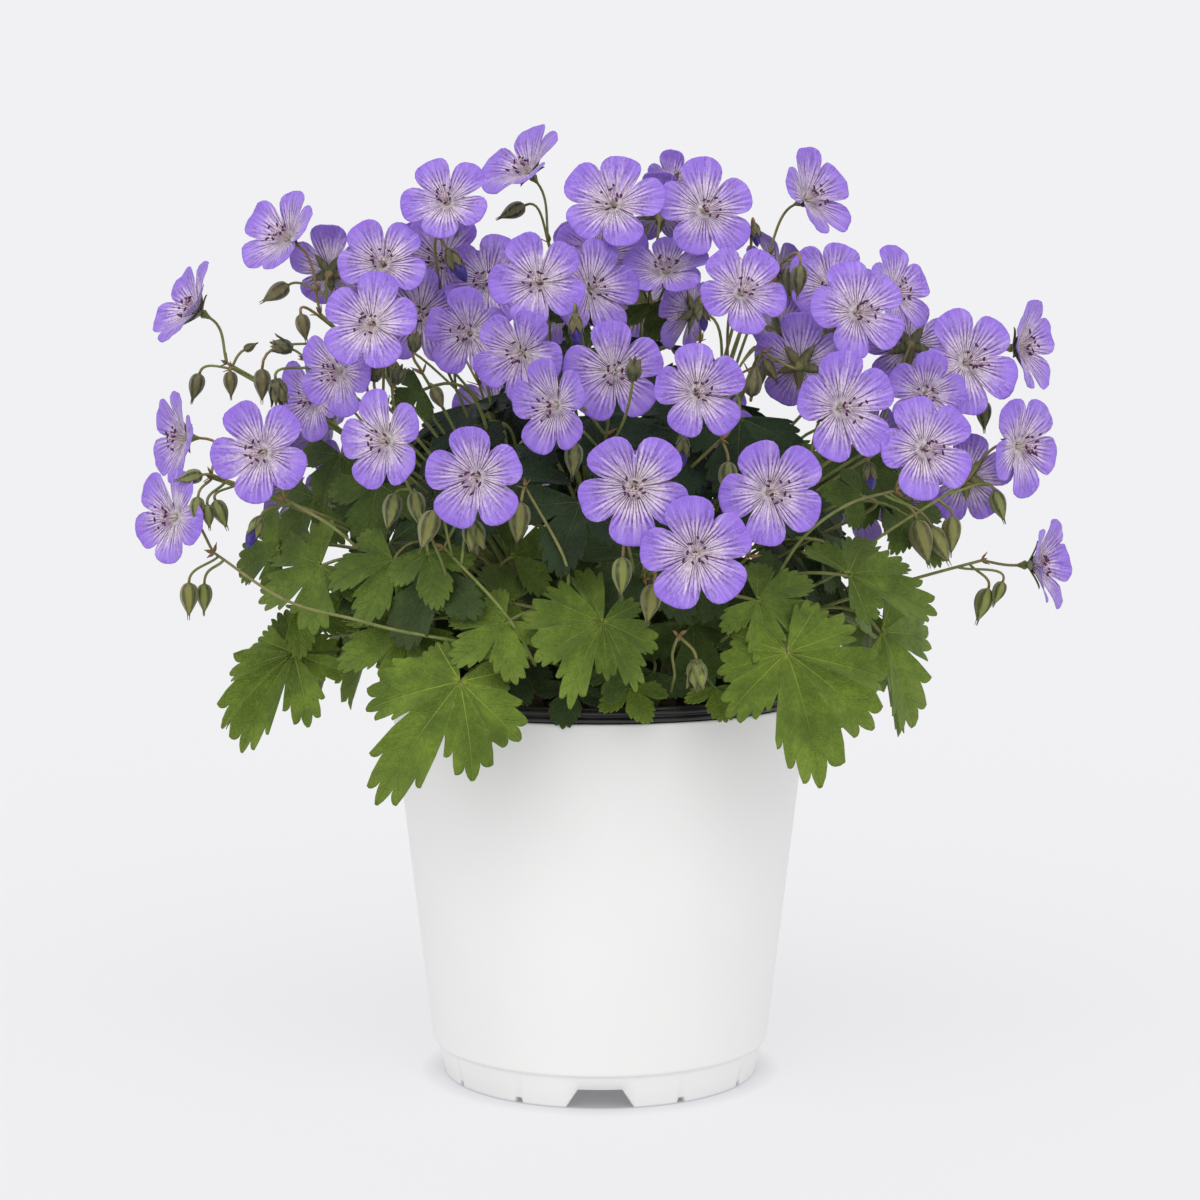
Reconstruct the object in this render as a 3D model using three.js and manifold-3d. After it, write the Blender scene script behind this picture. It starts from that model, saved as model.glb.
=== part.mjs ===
// A hardy geranium in flower, growing in a white pot with a black inner pot.
// Millimetres, +Z up. The origin is on the ground, in the middle of the pot's foot.
// The front of the plant looks along -Y and +X is to the right.
import * as THREE from 'three';
import { mergeVertices } from 'three/addons/utils/BufferGeometryUtils.js';
import Module from 'manifold-3d';

const wasm = await Module();
wasm.setup();
const { Manifold, Mesh: SolidMesh } = wasm;

// ---- driving dimensions ----
const clearance = 0.35;          // gap between pieces that rest on each other
const wallGap = 0.45;            // the same between round walls, whose facets need a little more
const overrun = 3;               // how far a cutter reaches past what it cuts
const roundSides = 24;           // facets round the pot

const potHeight = 150;           // top edge of the white pot
const potTopRadius = 82.5;
const potStepRadius = 66.6;      // where the wall meets the step above the foot
const potStepHeight = 13;
const potWall = 1.8;
const edgeRound = 1.2;           // small slopes that take the sharpness off the pot's edges
const footRadius = 64.4;         // just under the step
const footBottomRadius = 61.4;   // at the ground
const footInnerRadius = 58.6;
const footFloor = 9.6;           // underside of the raised floor
const potFloorTop = 12;
const drainRadius = 5;
const drainRing = 34;            // distance of the drain holes from the middle
const bigNotch = { count: 4, top: 17, bottom: 26.5, height: 7.3 };
const smallNotch = { top: 2.4, bottom: 3.8, height: 2 };
const notchStep = 30;            // degrees from one foot notch to the next

const linerWall = 1.2;
const linerLipTop = 156;
const lipRidge = 0.9;            // how far the ridges round the lip stand out
const linerFloorTop = 13.8;
const soilTop = 143;
const soilCrown = 2;             // how much the soil rises in the middle

const crownRing = 30;            // distance of the outer crowns from the middle one
const crownRadius = 4.6;         // the woody stock that each shoot grows from
const crownDepth = 13;           // below the soil's surface
const crownRise = 9;             // above the soil's surface
const innerReach = 42;           // what ends nearer the axis than this grows from the middle crown

const trunkRadius = 2.1;         // each crown's main shoot, which its stems and petioles leave in turn
const trunkTops = [232, 208];    // height of the middle shoot and of the outer ones
const trunkSink = 3;             // how deep a shoot starts inside its stock
const trunkLean = 1.3;           // how far an outer shoot leans away from the middle
const stemRadius = 1.5;          // a spray's stem where it leaves the shoot
const pedicelRadius = 0.9;
const petioleRadius = 1.05;
const petioleFlare = 1.4;        // a petiole's corners stand out by this much from its flat sides
const rootLength = 4.5;          // where a stem is sunk in another it narrows to a point
const stalkPull = 0.38;          // share of a stalk that lines up with its bloom
const petiolePull = 0.3;         // share of a petiole that lines up with its leaf

const petalCount = 5;
const petalThickness = 0.9;
const fullPetalFrom = 38;        // blooms at least this wide have petals with a full outline,
const backFrom = 10;             // unless they stand further back than this
const petalCup = 0.3;            // rise of a petal along the bloom's axis for each mm outwards
const columnHeight = 7;          // the stamens and style in the middle of a bloom
const columnRadius = 2.2;
const sepalReach = 9;
const sepalCup = 0.22;           // sepals open flatter than petals
const calyxDepth = 5.2;
const budBelly = 0.4;            // where a bud is widest, as a share of its length
const budFatness = 0.33;         // its radius there, as a share of its length
const leafThickness = 0.9;

const sinusReach = 0.42;         // how deep the cuts between a leaf's lobes go, as a share of its reach
const leafFold = 0.1;            // how far lobes droop and valleys lift, for each mm outwards
// lobes: clock angle and reach of each lobe. teeth: clock angle and reach of each tooth on a lobe.
const bigLeaf = {
  lobes: [[-112, 0.72], [-56, 0.94], [0, 1], [56, 0.94], [112, 0.72]],
  teeth: [[-17, 0.74], [-9, 0.9], [0, 1], [9, 0.9], [17, 0.74]],
};
const midLeaf = { lobes: bigLeaf.lobes, teeth: [[-15, 0.8], [0, 1], [15, 0.8]] };
const smallLeaf = { lobes: [[-72, 0.85], [0, 1], [72, 0.85]], teeth: [[-18, 0.8], [0, 1], [18, 0.8]] };

// ---- colours ----
const finish = (color, roughness) => new THREE.MeshStandardMaterial({ color, roughness, metalness: 0 });
const whitePlastic = () => finish(0xe9eaea, 0.42);
const blackPlastic = () => finish(0x1b1a19, 0.4);
const darkSoil = () => finish(0x17120e, 0.95);
const leafGreen = () => finish(0x4f6b26, 0.6);
const petalViolet = () => finish(0x8f78dc, 0.55);

// ---- where the flowering sprays stand ----
// fork: the point where the spray's stem divides.
// blooms: x, y, z of the throat, diameter, turn to the right, tilt upwards, roll of the first petal.
// buds: x, y, z of the top, length, lean to the right.
const frontSprays = [
  { fork: [-148, -30, 209], blooms: [[-161, -35, 223, 39, -40, 5, -52]],
    buds: [[-157, -34, 198, 11.5, -1], [-152, -28, 197, 10, -1]] },
  { fork: [-146, 0, 281], blooms: [[-155, 5, 298, 38, -62, 28, 20]],
    buds: [[-157, 2, 277, 10, -16], [-144, -6, 278, 9, 2]] },
  { fork: [-147, -38, 239], blooms: [[-160, -5, 252, 36, -72, 3, 15]],
    buds: [[-152, -38, 241, 9, -61], [-146, -42, 230, 11, 26]] },
  { fork: [-118, -52, 231], blooms: [[-124, -62, 249, 41, -20, 2, -28]],
    buds: [[-126, -60, 225, 10, -24]] },
  { fork: [-107, -22, 300], blooms: [[-116, -25, 326, 38, -42, 25, 5], [-103, -26, 317, 36, -150, 30, 0]],
    buds: [[-113, -36, 300, 9, 11], [-131, -10, 279, 11, -1]] },
  { fork: [-86, -40, 250], buds: [],
    blooms: [[-92, -66, 280, 38, -35, -5, -50], [-82, -84, 296, 40, -8, 12, 10],
      [-107, -28, 270, 37, -40, 0, 20]] },
  { fork: [-62, -18, 285], buds: [[-57, -48, 324, 11, 30]],
    blooms: [[-80, -47, 321, 40, 0, 20, -30], [-60, -26, 320, 37, -10, 10, -40],
      [-68, -34, 300, 38, 0, -8, 0]] },
  { fork: [-46, -20, 285], buds: [],
    blooms: [[-57, -44, 341, 38, -8, 25, -30], [-51, -62, 293, 37, -12, -8, 0],
      [-42, -36, 312, 36, 0, 5, 20]] },
  { fork: [-56, -94, 216], buds: [[-59, -102, 230, 13, -19], [-46, -104, 227, 13, 11]],
    blooms: [[-43, -118, 243, 40, -12, -5, -5]] },
  { fork: [-71, -80, 240], buds: [[-74, -84, 235, 12, -14], [-67, -88, 236, 11, 8]],
    blooms: [[-75, -92, 252, 38, -35, 5, -15]] },
  { fork: [-27, -94, 238], buds: [[-28, -104, 233, 13, -6]], blooms: [] },
  { fork: [2, -80, 256], buds: [[-9, -98, 254, 11, -4], [13, -104, 276, 11, 176]],
    blooms: [[-16, -106, 269, 38, -40, -5, -10], [5, -88, 279, 37, -3, 2, -5]] },
  { fork: [-20, -45, 270], buds: [],
    blooms: [[-29, -88, 289, 40, -18, -12, -45], [-23, -74, 312, 41, -10, 12, -25]] },
  { fork: [6, -24, 284], buds: [],
    blooms: [[-6, -55, 308, 42, 30, 10, 15], [0, -28, 322, 36, 5, 20, 0]] },
  { fork: [20, -12, 300], buds: [],
    blooms: [[5, -46, 340, 41, -5, 22, 15], [39, -40, 338, 39, 12, 15, -6], [25, -40, 315, 34, -10, 50, 0],
      [23, -16, 338, 34, 175, 40, 0], [28, 6, 350, 27, 150, 20, 0]] },
  { fork: [-20, -2, 328], buds: [[-29, -4, 342, 10, -64]], blooms: [[-22, -5, 352, 38, -48, 42, -20]] },
  { fork: [65, -4, 322], buds: [[75, -4, 319, 11, -6]],
    blooms: [[76, -5, 342, 38, 48, 18, -5]] },
  { fork: [48, -38, 272], buds: [],
    blooms: [[50, -74, 304, 39, 15, 10, -35], [34, -46, 305, 34, -125, 10, 0]] },
  { fork: [60, -62, 286], buds: [[52, -66, 280, 11, -7]],
    blooms: [[74, -58, 281, 38, 165, 12, 0]] },
  { fork: [32, -68, 246], buds: [], blooms: [[32, -106, 272, 39, 15, 5, -8], [50, -74, 251, 34, 0, 0, 0]] },
  { fork: [16, -92, 205], buds: [[8, -122, 215, 12, -3], [19, -116, 205, 12.5, -10]],
    blooms: [[12, -128, 240, 43, -5, -8, -33], [33, -130, 217, 42, 0, -2, -10]] },
  { fork: [28, -108, 186], buds: [[34, -116, 178, 11.5, 2]], blooms: [] },
  { fork: [54, -84, 212], buds: [], blooms: [[58, -112, 237, 41, 15, 0, -24]] },
  { fork: [76, -56, 236], buds: [], blooms: [[85, -90, 266, 44, 22, 3, -8]] },
  { fork: [110, -52, 234], buds: [[119, -50, 223, 15, 15], [125, -46, 220, 13, 26]],
    blooms: [[115, -82, 250, 42, 15, 8, -20]] },
  { fork: [108, -24, 248], buds: [],
    blooms: [[122, -46, 272, 37, 5, 0, 10], [119, -20, 288, 37, 175, -5, 0]] },
  { fork: [88, -20, 272], buds: [],
    blooms: [[91, -64, 300, 42, 18, 15, -14], [84, -34, 312, 38, 10, 20, 20],
      [112, -38, 308, 38, 45, 15, 0]] },
  { fork: [140, -22, 268], buds: [[147, -24, 267, 10, 2]],
    blooms: [[138, -36, 284, 41, 20, 8, -28], [162, -2, 287, 38, 68, 5, 0]] },
  { fork: [139, -34, 236], buds: [[150, -36, 233, 10.5, 18], [133, -44, 224, 12.5, -1]],
    blooms: [[157, -32, 250, 40, 42, -3, -38], [140, -30, 238, 36, 160, -10, 0]] },
  { fork: [148, -18, 205], buds: [[151, -16, 194, 12, -18], [156, -20, 197, 8.5, -21]],
    blooms: [[168, -15, 203, 36, 75, -5, 20]] },
];

// The sprays behind: two tiers round the back half. Each spray's blooms stand in an arc, turned so
// that the petals of neighbours meet tip to tip. step: degrees along the arc. fanOut: degrees that
// a bloom turns away from the middle for each mm.
const rearTiers = [
  { sprays: 4, from: 8, to: 172, forkRadius: 88, forkHeight: 216, radius: 131, height: 236, tilt: 10 },
  { sprays: 3, from: 0, to: 180, forkRadius: 56, forkHeight: 272, radius: 92, height: 304, tilt: 28 },
];
const rearBunch = { blooms: 3, step: 112, radius: 19, diameter: 40, fanOut: 0.7 };
const rearScatter = 12;          // how much the bunches differ in height
const rearBud = { inwards: 4, down: 22, turnOn: 0.2, length: 11 };

// ---- where the leaves stand ----
// x, y, z of the junction, reach of the middle lobe, turn of the face to the right, tilt of the face
// upwards, and the clock angle of the middle lobe as seen on the face.
const frontLeaves = [
  [-116, -45, 172, 42, -15, 30, 212],
  [-50, -106, 169, 52, 0, 25, 215],
  [1, -112, 191, 34, 0, 38, 212],
  [67, -102, 179, 50, 5, 25, 163],
  [108, -62, 180, 38, 55, 12, 165],
  [91, -78, 205, 38, 10, 45, 115],
  [57, -92, 197, 27, 10, 40, 120],
  [-32, -88, 196, 27, -5, 50, 275],
  [-34, -102, 190, 24, -10, 35, 225],
  [-104, -60, 207, 29, -20, 30, 235],
  [-70, -72, 186, 31, -10, 35, 235],
  [-76, -74, 210, 27, -5, 30, 200],
];
const frontSmallLeaves = [
  [-32, -80, 212, 22, 0, 30, 65],
  [-114, -44, 190, 25, -10, 35, 100],
  [-62, -92, 214, 21, -5, 25, 165],
  [-121, -46, 212, 24, -30, 20, 250],
  [12, -90, 166, 15, 0, 45, 160],
  [36, -88, 168, 14, 5, 40, 170],
  [90, -56, 230, 22, 15, 40, 80],
  [117, -40, 224, 23, 30, 35, 150],
];
const rearLeaves = { count: 8, from: -8, to: 188, radius: 106, height: 178, lobe: 46, tilt: 30 };
const innerLeaves = { count: 3, from: -10, to: 200, radius: 62, height: 232, lobe: 36, tilt: 42 };
const lowLeaves = { count: 4, from: 0, to: 180, radius: 50, height: 192, lobe: 38, tilt: 62 };
const ringScatter = { radius: 0.2, height: 16, lobe: 0.2, tilt: 12, clock: 40 };

// ---- small helpers ----
const radians = THREE.MathUtils.degToRad;
const vec = (values) => new THREE.Vector3(values[0], values[1], values[2]);
const up = new THREE.Vector3(0, 0, 1);
const goldenShare = 0.618034;
const spread = (n) => (n * goldenShare) % 1;          // an even scatter of shares between 0 and 1
const between = (from, to, share) => from + (to - from) * share;

// A closed three.js geometry as a solid with its faces pointing out.
function solid(geometry) {
  const bare = geometry.index ? geometry.clone() : geometry;
  bare.deleteAttribute('normal');
  bare.deleteAttribute('uv');
  const merged = mergeVertices(bare, 1e-4);
  const positions = merged.getAttribute('position').array;
  const corners = [];
  let sixVolumes = 0;
  const a = new THREE.Vector3();
  const b = new THREE.Vector3();
  const c = new THREE.Vector3();
  for (let i = 0; i < merged.index.count; i += 3) {
    const [i0, i1, i2] = [merged.index.getX(i), merged.index.getX(i + 1), merged.index.getX(i + 2)];
    if (i0 === i1 || i1 === i2 || i2 === i0) continue;
    a.fromArray(positions, 3 * i0);
    b.fromArray(positions, 3 * i1);
    c.fromArray(positions, 3 * i2);
    sixVolumes += a.dot(b.cross(c));
    corners.push(i0, i1, i2);
  }
  if (sixVolumes < 0) corners.reverse();
  return new Manifold(new SolidMesh({
    numProp: 3,
    vertProperties: Float32Array.from(positions),
    triVerts: Uint32Array.from(corners),
  }));
}

// A solid as a geometry that three.js can show.
function shown(body) {
  const mesh = body.getMesh();
  const geometry = new THREE.BufferGeometry();
  geometry.setAttribute('position', new THREE.BufferAttribute(Float32Array.from(mesh.vertProperties), 3));
  geometry.setIndex(new THREE.BufferAttribute(Uint32Array.from(mesh.triVerts), 1));
  return geometry;
}

// A round body from a closed outline of [radius, height] points.
function turned(outline, sides = roundSides) {
  const points = outline.map(([r, z]) => new THREE.Vector2(r, z));
  const geometry = new THREE.LatheGeometry(points, sides);
  geometry.rotateX(Math.PI / 2);
  return solid(geometry);
}

// The way a bloom or a leaf faces: out of its face, up on its face, and right on its face.
function facing(turn, tilt) {
  const out = new THREE.Vector3(
    Math.sin(radians(turn)) * Math.cos(radians(tilt)),
    -Math.cos(radians(turn)) * Math.cos(radians(tilt)),
    Math.sin(radians(tilt)),
  );
  const top = up.clone().addScaledVector(out, -out.z).normalize();
  const right = top.clone().cross(out);
  return { out, top, right };
}

// A point on a face, by its clock angle, distance from the middle and height above the face.
function onFace(frame, middle, clock, distance, height) {
  return middle.clone()
    .addScaledVector(frame.top, Math.cos(radians(clock)) * distance)
    .addScaledVector(frame.right, Math.sin(radians(clock)) * distance)
    .addScaledVector(frame.out, height);
}

// The way a bud hangs that leans to the right by the given angle.
const hangWay = (lean) => new THREE.Vector3(Math.sin(radians(lean)), 0, -Math.cos(radians(lean)));

// A closed skin that grows ring by ring. Rings of different counts are joined in proportion.
class Skin {
  constructor() {
    this.points = [];
    this.triangles = [];
  }

  ring(points) {
    const start = this.points.length;
    this.points.push(...points);
    return points.map((_, i) => start + i);
  }

  bridge(a, b) {
    let i = 0;
    let j = 0;
    while (i < a.length || j < b.length) {
      if (j >= b.length || (i < a.length && (i + 1) * b.length <= (j + 1) * a.length)) {
        this.triangles.push([a[i], a[(i + 1) % a.length], b[j % b.length]]);
        i += 1;
      } else {
        this.triangles.push([a[i % a.length], b[(j + 1) % b.length], b[j]]);
        j += 1;
      }
    }
  }

  closeStart(ring, tip) {
    const [apex] = this.ring([tip]);
    ring.forEach((index, i) => this.triangles.push([ring[(i + 1) % ring.length], index, apex]));
  }

  closeEnd(ring, tip) {
    const [apex] = this.ring([tip]);
    ring.forEach((index, i) => this.triangles.push([index, ring[(i + 1) % ring.length], apex]));
  }

  body() {
    const geometry = new THREE.BufferGeometry();
    const values = this.points.flatMap((p) => [p.x, p.y, p.z]);
    geometry.setAttribute('position', new THREE.BufferAttribute(Float32Array.from(values), 3));
    geometry.setIndex(this.triangles.flat());
    return solid(geometry);
  }
}

// The rings of a rod along a list of points, starting a skin. The rod begins as a point, is at
// its first radius a short way on, and narrows evenly to its last. side is the direction in which
// each ring's first point lies, turned by the phase in degrees.
function rodRings(skin, points, arriving, side, { radii, sides, phase = 0, flat = 1, last = true }) {
  const first = points[1].clone().sub(points[0]).normalize();
  const path = [points[0].clone().addScaledVector(first, rootLength), ...points.slice(1)];
  let before = null;
  const count = last ? path.length : path.length - 1;
  for (let i = 0; i < count; i += 1) {
    const tangent = i === path.length - 1
      ? arriving.clone()
      : path[i + 1].clone().sub(path[Math.max(i - 1, 0)]).normalize();
    const across = side.clone().addScaledVector(tangent, -side.dot(tangent)).normalize();
    const other = tangent.clone().cross(across);
    const radius = between(radii[0], radii[1], i / (path.length - 1));
    const ring = skin.ring(Array.from({ length: sides }, (_, j) => {
      const angle = radians(phase + (360 / sides) * j);
      return path[i].clone()
        .addScaledVector(across, radius * Math.cos(angle))
        .addScaledVector(other, flat * radius * Math.sin(angle));
    }));
    if (before) skin.bridge(before, ring);
    else skin.closeStart(ring, points[0]);
    before = ring;
  }
  return before;
}

// ---- pots and soil ----
function innerRadiusAt(z) {
  const share = (z - potStepHeight) / (potHeight - potStepHeight);
  return between(potStepRadius, potTopRadius, share) - potWall;
}

function outerPot() {
  let body = turned([
    [0, footFloor],
    [footInnerRadius, footFloor],
    [footInnerRadius, 0],
    [footBottomRadius, 0],
    [footBottomRadius + edgeRound, edgeRound],
    [footRadius, potStepHeight - edgeRound],
    [potStepRadius, potStepHeight],
    [potTopRadius, potHeight - edgeRound],
    [potTopRadius - 0.5 * edgeRound, potHeight],
    [potTopRadius - potWall, potHeight],
    [innerRadiusAt(potFloorTop), potFloorTop],
    [0, potFloorTop],
  ]);
  const stepsRound = 360 / notchStep;
  for (let i = 0; i < stepsRound; i += 1) {
    const isBig = i % (stepsRound / bigNotch.count) === 0;
    const { top, bottom, height } = isBig ? bigNotch : smallNotch;
    const outline = new THREE.Shape([
      new THREE.Vector2(-bottom / 2, -overrun),
      new THREE.Vector2(bottom / 2, -overrun),
      new THREE.Vector2(top / 2, height),
      new THREE.Vector2(-top / 2, height),
    ]);
    const depth = footRadius - footInnerRadius + 2 * overrun;
    const cutter = new THREE.ExtrudeGeometry(outline, { depth, bevelEnabled: false });
    cutter.rotateX(Math.PI / 2);
    cutter.translate(0, -(footInnerRadius - overrun), 0);
    cutter.rotateZ(radians(i * notchStep));
    body = body.subtract(solid(cutter));
  }
  for (let i = 0; i < 4; i += 1) {
    const drain = new THREE.CylinderGeometry(drainRadius, drainRadius, potFloorTop, 8);
    drain.rotateX(Math.PI / 2);
    drain.translate(drainRing, 0, (footFloor + potFloorTop) / 2);
    drain.rotateZ(radians(45 + 90 * i));
    body = body.subtract(solid(drain));
  }
  return body;
}

function liner() {
  const lipFoot = potHeight + clearance;
  const lipHeight = linerLipTop - lipFoot;
  const outside = (z) => innerRadiusAt(z) - wallGap;
  const floorUnder = potFloorTop + clearance;
  return turned([
    [0, floorUnder],
    [outside(floorUnder), floorUnder],
    [outside(lipFoot), lipFoot],
    [potTopRadius - 0.5 * lipRidge, lipFoot],
    [potTopRadius, lipFoot + 0.25 * lipHeight],
    [potTopRadius - lipRidge, lipFoot + 0.5 * lipHeight],
    [potTopRadius - 0.3 * lipRidge, lipFoot + 0.75 * lipHeight],
    [potTopRadius - 1.3 * lipRidge, linerLipTop],
    [outside(linerLipTop) - linerWall, linerLipTop],
    [outside(linerFloorTop) - linerWall, linerFloorTop],
    [0, linerFloorTop],
  ]);
}

const soilRadiusAt = (z) => innerRadiusAt(z) - wallGap - linerWall - wallGap;

function soil(crowns) {
  let body = turned([
    [0, linerFloorTop + clearance],
    [soilRadiusAt(linerFloorTop + clearance), linerFloorTop + clearance],
    [soilRadiusAt(soilTop), soilTop],
    [0, soilTop + soilCrown],
  ]);
  const holeRadius = crownRadius + wallGap;
  const depth = crownDepth + soilCrown + overrun;
  for (const [x, y] of crowns) {
    const hole = new THREE.CylinderGeometry(holeRadius, holeRadius, depth, 6);
    hole.rotateX(Math.PI / 2);
    hole.translate(x, y, soilTop - crownDepth - clearance + depth / 2);
    body = body.subtract(solid(hole));
  }
  return body;
}

// ---- blooms, buds and leaves ----
// A corolla of broad rounded petals in a shallow cup, with a raised column in the middle.
// Each petal has a valley beside it, two shoulders and a tip. Both faces are split alike.
// A plain petal, for blooms behind the others, has no tip between its shoulders.
const fullPetal = [[-0.5, 0.5], [-0.35, 0.86], [0, 1], [0.35, 0.86]];   // share of a sector, reach
const plainPetal = [[-0.5, 0.5], [-0.27, 0.95], [0.27, 0.95]];
const hasFullPetals = ([, y, , diameter]) => y < backFrom && diameter >= fullPetalFrom;

function corolla(bloom) {
  const [x, y, z, diameter, turn, tilt, roll] = bloom;
  const outline = hasFullPetals(bloom) ? fullPetal : plainPetal;
  const frame = facing(turn, tilt);
  const middle = vec([x, y, z]);
  const sector = 360 / petalCount;
  const skin = new Skin();
  const at = (clock, distance, height) => (
    onFace(frame, middle, clock, distance, petalCup * distance + height));
  const rim = Array.from({ length: petalCount }, (_, k) => outline.map(([share, reach]) => (
    [roll + (k + share) * sector, 0.5 * diameter * reach]))).flat();
  const face = skin.ring(rim.map(([clock, distance]) => at(clock, distance, 0)));
  const back = skin.ring(rim.map(([clock, distance]) => at(clock, distance, -petalThickness)));
  const inner = skin.ring(Array.from({ length: petalCount }, (_, k) => (
    at(roll + (k - 0.5) * sector, columnRadius, 0))));
  for (let k = 0; k < petalCount; k += 1) {
    const next = (k + 1) % petalCount;
    const petal = outline.map((_, j) => face[k * outline.length + j]);
    petal.push(face[next * outline.length]);
    const middlePoint = Math.floor(outline.length / 2);
    for (let j = 0; j < outline.length; j += 1) {
      skin.triangles.push([inner[j < middlePoint ? k : next], petal[j + 1], petal[j]]);
    }
    skin.triangles.push([inner[k], inner[next], petal[middlePoint]]);
  }
  skin.closeEnd([...inner].reverse(), onFace(frame, middle, 0, 0, columnHeight));
  skin.bridge(face, back);
  skin.closeEnd(back, onFace(frame, middle, 0, 0, -petalThickness));
  return skin.body();
}

// A stalk that opens into the calyx behind a corolla, with a sepal's tip between each two petals.
function stalkWithCalyx(path, firstRadius, [x, y, z, diameter, turn, tilt, roll], skinWidth) {
  const frame = facing(turn, tilt);
  const middle = vec([x, y, z]);
  const reach = (sepalReach * diameter) / 40 + 3 * skinWidth;
  const clockStart = roll + 180 / petalCount;
  const skin = new Skin();
  const radii = [firstRadius + skinWidth, pedicelRadius + skinWidth];
  const neck = rodRings(skin, path, frame.out, frame.right, { radii, sides: 3, phase: 90 - clockStart });
  const under = -petalThickness - clearance + skinWidth;
  const rim = skin.ring(Array.from({ length: petalCount }, (_, k) => (
    onFace(frame, middle, clockStart - (360 / petalCount) * k, reach, sepalCup * reach + under))));
  skin.bridge(neck, rim);
  skin.closeEnd(rim, onFace(frame, middle, 0, 0, under));
  return skin.body();
}

// A stalk that swells into a pointed bud, hanging from its top and leaning to the right.
function stalkWithBud(path, firstRadius, [, , , length, lean], skinWidth) {
  const hang = hangWay(lean);
  const side = new THREE.Vector3(0, 1, 0);
  const across = hang.clone().cross(side);
  const top = path[path.length - 1];
  const skin = new Skin();
  const radii = [firstRadius + skinWidth, pedicelRadius + skinWidth];
  const neck = rodRings(skin, path, hang, side, { radii, sides: 3 });
  const radius = budFatness * length + skinWidth;
  const belly = skin.ring([[1, 0], [0, 1], [-1, 0], [0, -1]].map(([s, a]) => (
    top.clone().addScaledVector(hang, budBelly * length)
      .addScaledVector(side, s * radius)
      .addScaledVector(across, a * radius))));
  skin.bridge(neck, belly);
  skin.closeEnd(belly, top.clone().addScaledVector(hang, length + skinWidth));
  return skin.body();
}

// A palmate leaf on its petiole: lobes spread round the junction, each cut into rounded teeth.
// The petiole's last ring is the small flat face at the leaf's base.
function leafOnPetiole(path, [x, y, z, reach, turn, tilt, clock], shape, skinWidth) {
  const frame = facing(turn, tilt);
  const middle = vec([x, y, z]);
  const long = reach + skinWidth;
  const half = leafThickness / 2 + skinWidth;
  const baseWidth = petioleRadius + skinWidth;
  const lobeWay = onFace(frame, middle, clock, 1, 0).sub(middle);
  const side = frame.out.clone().cross(lobeWay);
  const rim = [];
  shape.lobes.forEach(([lobeClock, lobeReach], i) => {
    if (i > 0) rim.push([(lobeClock + shape.lobes[i - 1][0]) / 2, sinusReach * long, leafFold]);
    for (const [turnOn, share] of shape.teeth) {
      rim.push([lobeClock + turnOn, share * lobeReach * long, -leafFold * share]);
    }
  });
  const onBlade = (height) => ([clockOn, distance, lift]) => (
    onFace(frame, middle, clock + clockOn, distance, lift * distance + height));
  const skin = new Skin();
  const radii = [petioleFlare * baseWidth, petioleFlare * baseWidth];
  const neck = rodRings(skin, path, lobeWay, side, { radii, sides: 4, phase: 45, flat: 0.8, last: false });
  const base = skin.ring([[1, 1], [-1, 1], [-1, -1], [1, -1]].map(([s, h]) => (
    middle.clone().addScaledVector(side, s * baseWidth).addScaledVector(frame.out, h * half))));
  skin.bridge(neck, base);
  const [plusTop, minusTop, minusBottom, plusBottom] = base;
  const top = skin.ring(rim.map(onBlade(half)));
  const bottom = skin.ring(rim.map(onBlade(-half)));
  const centre = Math.floor(rim.length / 2);
  for (let i = 0; i < rim.length - 1; i += 1) {
    skin.triangles.push([i < centre ? plusTop : minusTop, top[i + 1], top[i]]);
    skin.triangles.push([i < centre ? plusBottom : minusBottom, bottom[i], bottom[i + 1]]);
  }
  skin.triangles.push([plusTop, minusTop, top[centre]], [minusBottom, plusBottom, bottom[centre]]);
  const edgeTop = [plusTop, ...top, minusTop];
  const edgeBottom = [plusBottom, ...bottom, minusBottom];
  for (let i = 0; i < edgeTop.length - 1; i += 1) {
    skin.triangles.push([edgeTop[i], edgeTop[i + 1], edgeBottom[i + 1]]);
    skin.triangles.push([edgeTop[i], edgeBottom[i + 1], edgeBottom[i]]);
  }
  return skin.body();
}

// ---- the growth: which crown carries what, and the curve of each stem ----
const crowns = [[0, 0], ...[0, 1, 2, 3, 4, 5].map((i) => {
  const angle = radians(-90 + 60 * i);
  return [crownRing * Math.cos(angle), crownRing * Math.sin(angle)];
})];

// A point on a crown's main shoot, by its share of the shoot's length.
function onTrunk(crown, share) {
  const [x, y] = crowns[crown];
  const lean = between(1, trunkLean, share);
  const top = crown === 0 ? trunkTops[0] : trunkTops[1];
  return new THREE.Vector3(x * lean, y * lean, between(soilTop + crownRise - trunkSink, top, share));
}

function nearestCrown([x, y]) {
  if (Math.hypot(x, y) < innerReach) return 0;
  const sector = Math.round((THREE.MathUtils.radToDeg(Math.atan2(y, x)) + 90) / 60);
  return 1 + ((sector + 6) % 6);
}

// A point between two others, by its share of the way across and its share of the rise.
const partWay = (start, end, along, rise) => new THREE.Vector3(
  between(start.x, end.x, along), between(start.y, end.y, along), between(start.z, end.z, rise),
);

// A stem leaves its shoot upwards and then leans over to its end.
function stemCurve(start, end) {
  const first = partWay(start, end, 0.3, 0.5);
  const second = partWay(start, end, 0.72, 0.8);
  return new THREE.CubicBezierCurve3(start, first, second, end);
}

// A stalk leaves a fork towards its bloom and arrives along the bloom's own axis.
function stalkCurve(start, end, arriving) {
  const pull = stalkPull * start.distanceTo(end);
  const first = partWay(start, end, 0.3, 0.35);
  const second = end.clone().addScaledVector(arriving, -pull);
  return new THREE.CubicBezierCurve3(start, first, second, end);
}

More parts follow.
